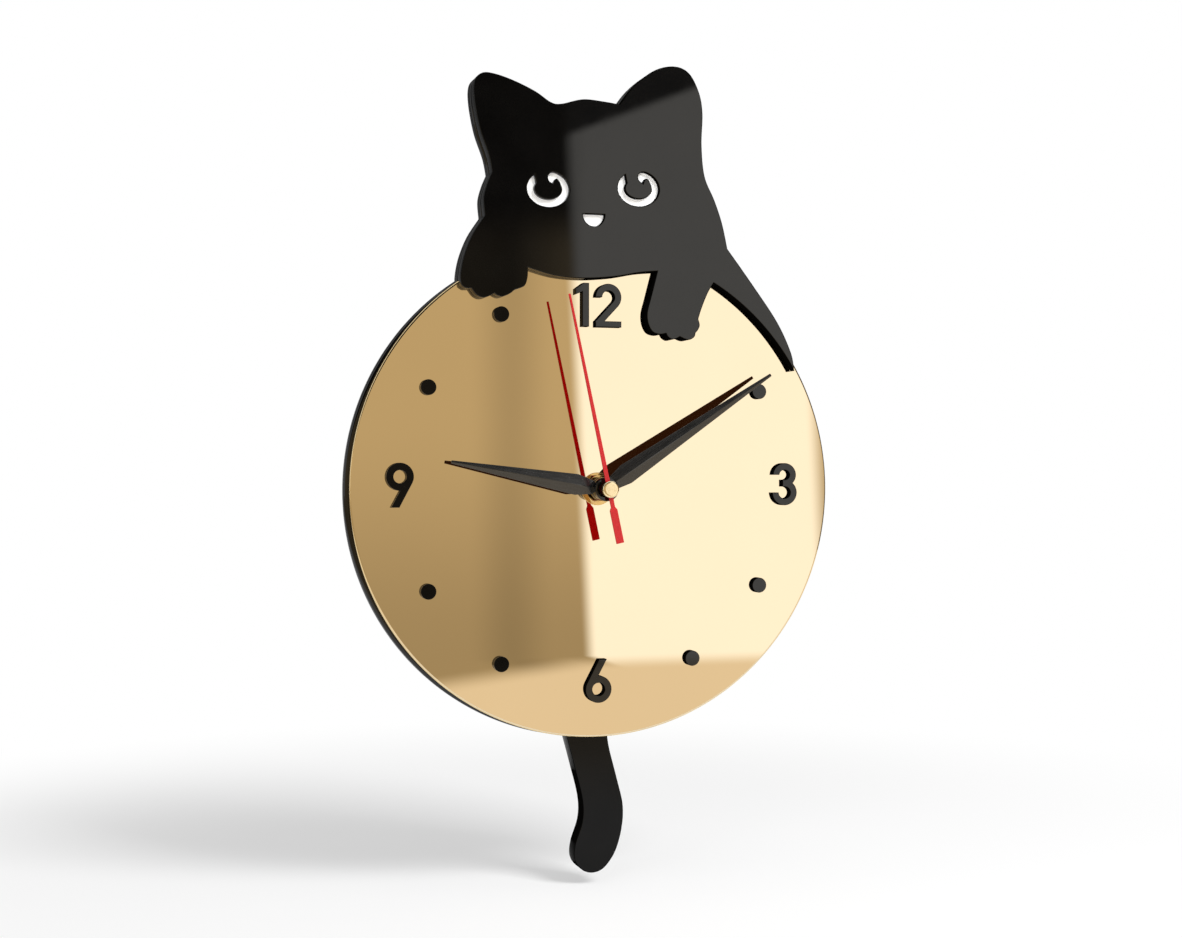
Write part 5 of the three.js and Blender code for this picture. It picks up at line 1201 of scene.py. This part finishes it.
class CLOCK_OT_make_seconds(bpy.types.Operator):
    """Makes the red second hand and the turned cap on it."""

    bl_idname = "clock.make_seconds"
    bl_label = "Second hand and cap"

    def execute(self, context):
        finishes = ClockFinishes(context.scene)
        rear, front = node_depths("second_hand")
        right = np.array(SECOND_HAND_OUTLINE)
        left = (right * (-1, 1))[::-1]
        outline = as_outer(eased(np.vstack([right, left]), SECOND_EASE))
        blade = flat_plate([outline], rear + SECOND_INSET, front - SECOND_INSET, SECOND_ROUND)
        hub = collar(SECOND_HUB_RADIUS, SECOND_BORE, rear, front, SECOND_ROUND, SECOND_HUB_SIDES)
        parts = [turn_about_axis(blade, SECOND_HAND_TURN), hub]
        coats = [finishes.red, finishes.red_back]
        add_piece(
            "second_pointer", "seconds_train", parts, coats, ["second_hand"], second_on="back",
        )
        sleeve_rear, cap_front = node_depths("second_hand_cap")
        radius = node_size("second_hand_cap").x / 2
        cap_rear = front + CAP_GAP
        dome = [(radius - inset, cap_front - drop) for inset, drop in CAP_DOME]
        profile = eased([
            (CAP_BORE, sleeve_rear), (CAP_SLEEVE, sleeve_rear), (CAP_SLEEVE, cap_rear), (radius, cap_rear),
            *dome, (0, cap_front),
        ], CAP_EASE, closed=False)
        bore = [(0, cap_rear + CAP_GAP), (CAP_BORE, cap_rear + CAP_GAP)]
        cap = turned(np.vstack([bore, profile]), BRASS_SIDES)
        add_piece("turned_cap", "seconds_train", [cap], [finishes.cap], ["second_hand_cap"])
        dress("seconds_wheel", finishes.acetal)
        return {"FINISHED"}


class CLOCK_OT_make_fixing(bpy.types.Operator):
    """Makes the washer and nut, and dresses the threaded bush and the gasket behind the plate."""

    bl_idname = "clock.make_fixing"
    bl_label = "Bush, washer and nut"

    def execute(self, context):
        finishes = ClockFinishes(context.scene)
        radius = node_size("fixing_washer").x / 2
        washer = collar(radius, WASHER_BORE, *node_depths("fixing_washer"), WASHER_EASE, BRASS_SIDES)
        add_piece("flat_washer", BODY, [washer], [finishes.brass], ["fixing_washer"])
        nut = hex_nut(node_size("fixing_nut").x / 2, NUT_BORE, *node_depths("fixing_nut"), BRASS_SIDES)
        piece = add_piece("hexagon_nut", BODY, [nut], [finishes.brass], ["fixing_nut"], NUT_SHARP)
        bevelled(piece, NUT_EDGE, NUT_BEVEL_ANGLE)
        dress("threaded_bush", finishes.brass)
        dress("movement_gasket", finishes.rubber)
        return {"FINISHED"}


class CLOCK_OT_make_movement(bpy.types.Operator):
    """Makes the cover's screws and the cell, and dresses the movement's case, hanger and what is inside."""

    bl_idname = "clock.make_movement"
    bl_label = "Movement"

    def execute(self, context):
        finishes = ClockFinishes(context.scene)
        soften = context.scene.clock_sizes.case_round / MM
        for node in ("movement_case", "rear_cover", "setting_knob"):
            dress(node, finishes.case, soften)
        dress("hanger_plate", finishes.steel, HANGER_EDGE)
        for node in ("tail_screw", "tail_nut", *nodes_like("hanger_screw")):
            dress(node, finishes.steel, SCREW_EDGE)
        for finish, nodes in DRESSED_INSIDE.items():
            for node in nodes:
                dress(node, getattr(finishes, finish))
        for node in nodes_like("cover_screw"):
            screw = cross_screw(node_size(node).x / 2, *node_depths(node), *node_middle(node))
            add_piece(node.replace("cover", "cross_head"), BODY, screw, [finishes.steel], [node])
        low, high = (corner.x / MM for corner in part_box("battery"))
        radius, depth = node_size("battery").z / 2, sum(node_depths("battery")) / 2
        nub, rise = CELL_NUB
        profile = eased([
            (0, low), (radius, low), (radius, high - rise), (nub, high - rise), (nub, high), (0, high),
        ], CELL_EASE, closed=False)
        cell = turned_on_x(profile, CELL_SIDES, depth, node_middle("battery")[1])
        add_piece("dry_cell", BODY, [cell], [finishes.cell], ["battery"])
        return {"FINISHED"}


class CLOCK_OT_make_pendulum(bpy.types.Operator):
    """Makes the tail and dresses the lever that carries it."""

    bl_idname = "clock.make_pendulum"
    bl_label = "Tail pendulum"

    def execute(self, context):
        sizes = context.scene.clock_sizes
        finishes = ClockFinishes(context.scene)
        hole = as_hole(circle(TAIL_SCREW_HOLE, HOLE_SIDES, *node_middle("tail_screw")))
        loops = [tail_outline(sizes.curve_steps), hole]
        tail = flat_plate(loops, *node_depths("tail"), sizes.plate_round / MM)
        coats = [finishes.tail, finishes.black_edge]
        add_piece("tail_plate", "pendulum", [tail], coats, ["tail"])
        dress("pendulum_lever", finishes.acetal, LEVER_EDGE)
        dress("pendulum_magnet", finishes.nickel, MAGNET_EDGE)
        dress("pendulum_pin", finishes.steel)
        return {"FINISHED"}


class CLOCK_OT_make_stage(bpy.types.Operator):
    """Makes the floor, the front wall with its softbox as a painted reflection, dark cards of painted shade,
    lamps, the world and the camera.
    """

    bl_idname = "clock.make_stage"
    bl_label = "Stage and camera"

    def execute(self, context):
        stage = context.scene.clock_stage
        make_floor(stage)
        make_front_wall(stage)
        make_shade_flags(stage)
        make_world()
        make_lamps()
        make_camera(context.scene, stage)
        context.scene.view_settings.view_transform = "Standard"
        return {"FINISHED"}


# Stage


def sheet_object(name, corners, material):
    """A flat stage sheet through four corners."""
    mesh = bpy.data.meshes.new(name)
    mesh.from_pydata(corners, [], [(0, 1, 2, 3)])
    mesh.materials.append(material)
    sheet = bpy.data.objects.new(name, mesh)
    bpy.context.collection.objects.link(sheet)
    return sheet


def reflected_sheet(name, ends, low, high, material):
    """An upright stage sheet between two ends, left to reflections alone."""
    first, second = ends
    corners = [(*first, low), (*second, low), (*second, high), (*first, high)]
    sheet = sheet_object(name, corners, material)
    sheet.visible_camera = False
    sheet.visible_diffuse = False
    sheet.visible_shadow = False


def room_colour(sheet):
    """The painted room at a place of the wall or floor: softbox at the right, warm wall with painted shade in
    a fold and low down, dark above.
    """
    across = sheet.joined("ADD", sheet.x, sheet.joined("MULTIPLY", sheet.z, SOFTBOX_LEAN))
    height = sheet.joined("SUBTRACT", sheet.z, sheet.joined("MULTIPLY", sheet.x, SOFTBOX_RISE))
    beside = sheet.step(across, SOFTBOX_LEFT)
    softbox = sheet.joined("MULTIPLY", beside, sheet.step(height, SOFTBOX_TOP))
    softbox = sheet.joined("MULTIPLY", softbox, sheet.step(across, SOFTBOX_RIGHT))
    left, middle, right = FOLD_PLACES
    fold = sheet.joined("MULTIPLY", sheet.step(sheet.x, (left, middle)), sheet.step(sheet.x, (right, middle)))
    lit = sheet.joined("SUBTRACT", 1.0, sheet.joined("MULTIPLY", fold, FOLD_PAINTED_SHADE))
    lit = sheet.joined("MULTIPLY", lit, sheet.step(sheet.z, WARM_FADE, (WARM_LOWEST, 1.0)))
    lit = sheet.joined("MULTIPLY", lit, sheet.step(sheet.z, WARM_TOP))
    room = sheet.blend(lit, sheet.blend(beside, DARK_LEFT, DARK_RIGHT), WARM_LIGHT)
    return sheet.blend(softbox, room, SOFTBOX_LIGHT)


def make_floor(stage):
    """A pale floor that is partly its own light, wholly so far off, and keeps a shadow on white.

    Towards the front wall, in the mirror alone, it turns to a painted warm reflection and then into the
    wall's own colour.
    """
    floor = Finish("pale_floor")
    camera_ray = floor.node("ShaderNodeLightPath").outputs["Is Camera Ray"]
    mirrored = floor.joined("SUBTRACT", 1.0, camera_ray)
    warm = floor.joined("MULTIPLY", mirrored, floor.step(floor.y, FLOOR_WARM))
    floor.shade(Roughness=FLOOR_ROUGHNESS, Specular_IOR_Level=0.0)
    floor.shade(Base_Color=floor.blend(warm, FLOOR_PALE, FLOOR_MIRRORED))
    slant = floor.joined("MULTIPLY", floor.joined("MINIMUM", floor.x, FLOOR_END_BEND), FLOOR_END_SLANT)
    end = floor.joined("MULTIPLY", mirrored, floor.step(floor.joined("ADD", floor.y, slant), FLOOR_END))
    near = floor.blend(warm, WHITE, FLOOR_GLOW_MIRRORED)
    glow = floor.glow(floor.blend(end, near, room_colour(floor)))
    distance = floor.node("ShaderNodeVectorMath", {0: floor.place}, operation="LENGTH").outputs["Value"]
    own_light = floor.step(distance, OWN_LIGHT_PLACES, OWN_LIGHT)
    share = floor.joined("MULTIPLY", floor.seen_directly(), own_light)
    mix = floor.node("ShaderNodeMixShader", {0: share, 1: floor.shader.outputs[0], 2: glow})
    floor.surface(mix.outputs[0])
    half, back = FLOOR_HALF_WIDTH, FLOOR_BACK
    z, front = stage.floor, stage.front_wall
    corners = [(-half, front, z), (half, front, z), (half, back, z), (-half, back, z)]
    sheet_object("floor", corners, floor.material)


def make_front_wall(stage):
    """A glowing wall that only the mirror shows: a painted reflection of the room."""
    wall = Finish("front_wall")
    wall.surface(wall.glow(room_colour(wall)))
    ends = [(WALL_HALF_WIDTH, stage.front_wall), (-WALL_HALF_WIDTH, stage.front_wall)]
    reflected_sheet("front_wall", ends, stage.floor, WALL_TOP, wall.material)


def make_shade_flags(stage):
    """Dark glowing cards behind the clock and at its right, shown only in reflections, that paint shade into
    polished edges, lighter near the floor.
    """
    flag = Finish("dark_flag")
    shade = flag.step(flag.joined("ADD", flag.z, flag.joined("MAXIMUM", flag.x, 0.0)), FLAG_FADE)
    flag.surface(flag.glow(flag.blend(shade, FLAG_LOW, FLAG_HIGH)))
    for name, ends in PAINTED_SHADE_FLAGS.items():
        reflected_sheet(name, ends, stage.floor, FLAG_TOP, flag.material)


def make_world():
    """White where it is seen, dim as light."""
    world = bpy.data.worlds.new("studio")
    world.use_nodes = True
    nodes = Nodes(world.node_tree)
    background = world.node_tree.nodes["Background"]
    strength = nodes.step(nodes.seen_directly(), (0.0, 1.0), (WORLD_LIGHT, 1.0), "LINEAR")
    nodes.put(WHITE, background.inputs["Color"])
    nodes.put(strength, background.inputs["Strength"])
    bpy.context.scene.world = world


def make_lamps():
    """A key from the upper right front, a fill from the left and one above: square, and in no reflection."""
    for name, (place, size, power) in LAMPS.items():
        data = bpy.data.lights.new(name, "AREA")
        data.size = size
        data.energy = power
        lamp = bpy.data.objects.new(name, data)
        bpy.context.collection.objects.link(lamp)
        lamp.location = place
        lamp.rotation_euler = (-Vector(place)).to_track_quat("-Z", "Y").to_euler()
        lamp.visible_glossy = False
        lamp.visible_camera = False


def make_camera(scene, stage):
    """A camera at the height of its target, turned to the dial's left."""
    data = bpy.data.cameras.new("camera")
    data.sensor_width = SENSOR_WIDTH
    data.lens = stage.lens
    data.clip_start, data.clip_end = CLIP_RANGE
    camera = bpy.data.objects.new("camera", data)
    bpy.context.collection.objects.link(camera)
    away = Vector((-math.sin(stage.azimuth), -math.cos(stage.azimuth), 0))
    camera.location = Vector(stage.target) + away * stage.distance
    camera.rotation_euler = (math.pi / 2, 0, -stage.azimuth)
    scene.camera = camera


class CLOCK_PT_panel(bpy.types.Panel):
    """Lists the clock's pieces and settings."""

    bl_idname = "CLOCK_PT_panel"
    bl_label = "Cat pendulum clock"
    bl_space_type = "VIEW_3D"
    bl_region_type = "UI"
    bl_category = "Clock"

    def draw(self, context):
        layout = self.layout
        for group in (context.scene.clock_sizes, context.scene.clock_colours, context.scene.clock_stage):
            column = layout.column()
            for name in group.__annotations__:
                column.prop(group, name)
        for operator in OPERATORS:
            layout.operator(operator.bl_idname)


OPERATORS = (
    CLOCK_OT_make_stage,
    CLOCK_OT_make_cat,
    CLOCK_OT_make_dial,
    CLOCK_OT_make_numerals,
    CLOCK_OT_make_hands,
    CLOCK_OT_make_seconds,
    CLOCK_OT_make_fixing,
    CLOCK_OT_make_movement,
    CLOCK_OT_make_pendulum,
)
SETTINGS = {"clock_sizes": ClockSizes, "clock_colours": ClockColours, "clock_stage": ClockStage}
CLASSES = (*SETTINGS.values(), *OPERATORS, CLOCK_PT_panel)


def register():
    for made in CLASSES:
        bpy.utils.register_class(made)
    for name, group in SETTINGS.items():
        setattr(bpy.types.Scene, name, bpy.props.PointerProperty(type=group))


def unregister():
    for name in SETTINGS:
        delattr(bpy.types.Scene, name)
    for made in reversed(CLASSES):
        bpy.utils.unregister_class(made)


def main():
    """Registers the add-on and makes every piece."""
    register()
    bpy.ops.clock.make_stage()
    bpy.ops.clock.make_cat()
    bpy.ops.clock.make_dial()
    bpy.ops.clock.make_numerals()
    bpy.ops.clock.make_hands()
    bpy.ops.clock.make_seconds()
    bpy.ops.clock.make_fixing()
    bpy.ops.clock.make_movement()
    bpy.ops.clock.make_pendulum()


if __name__ == "__main__":
    main()
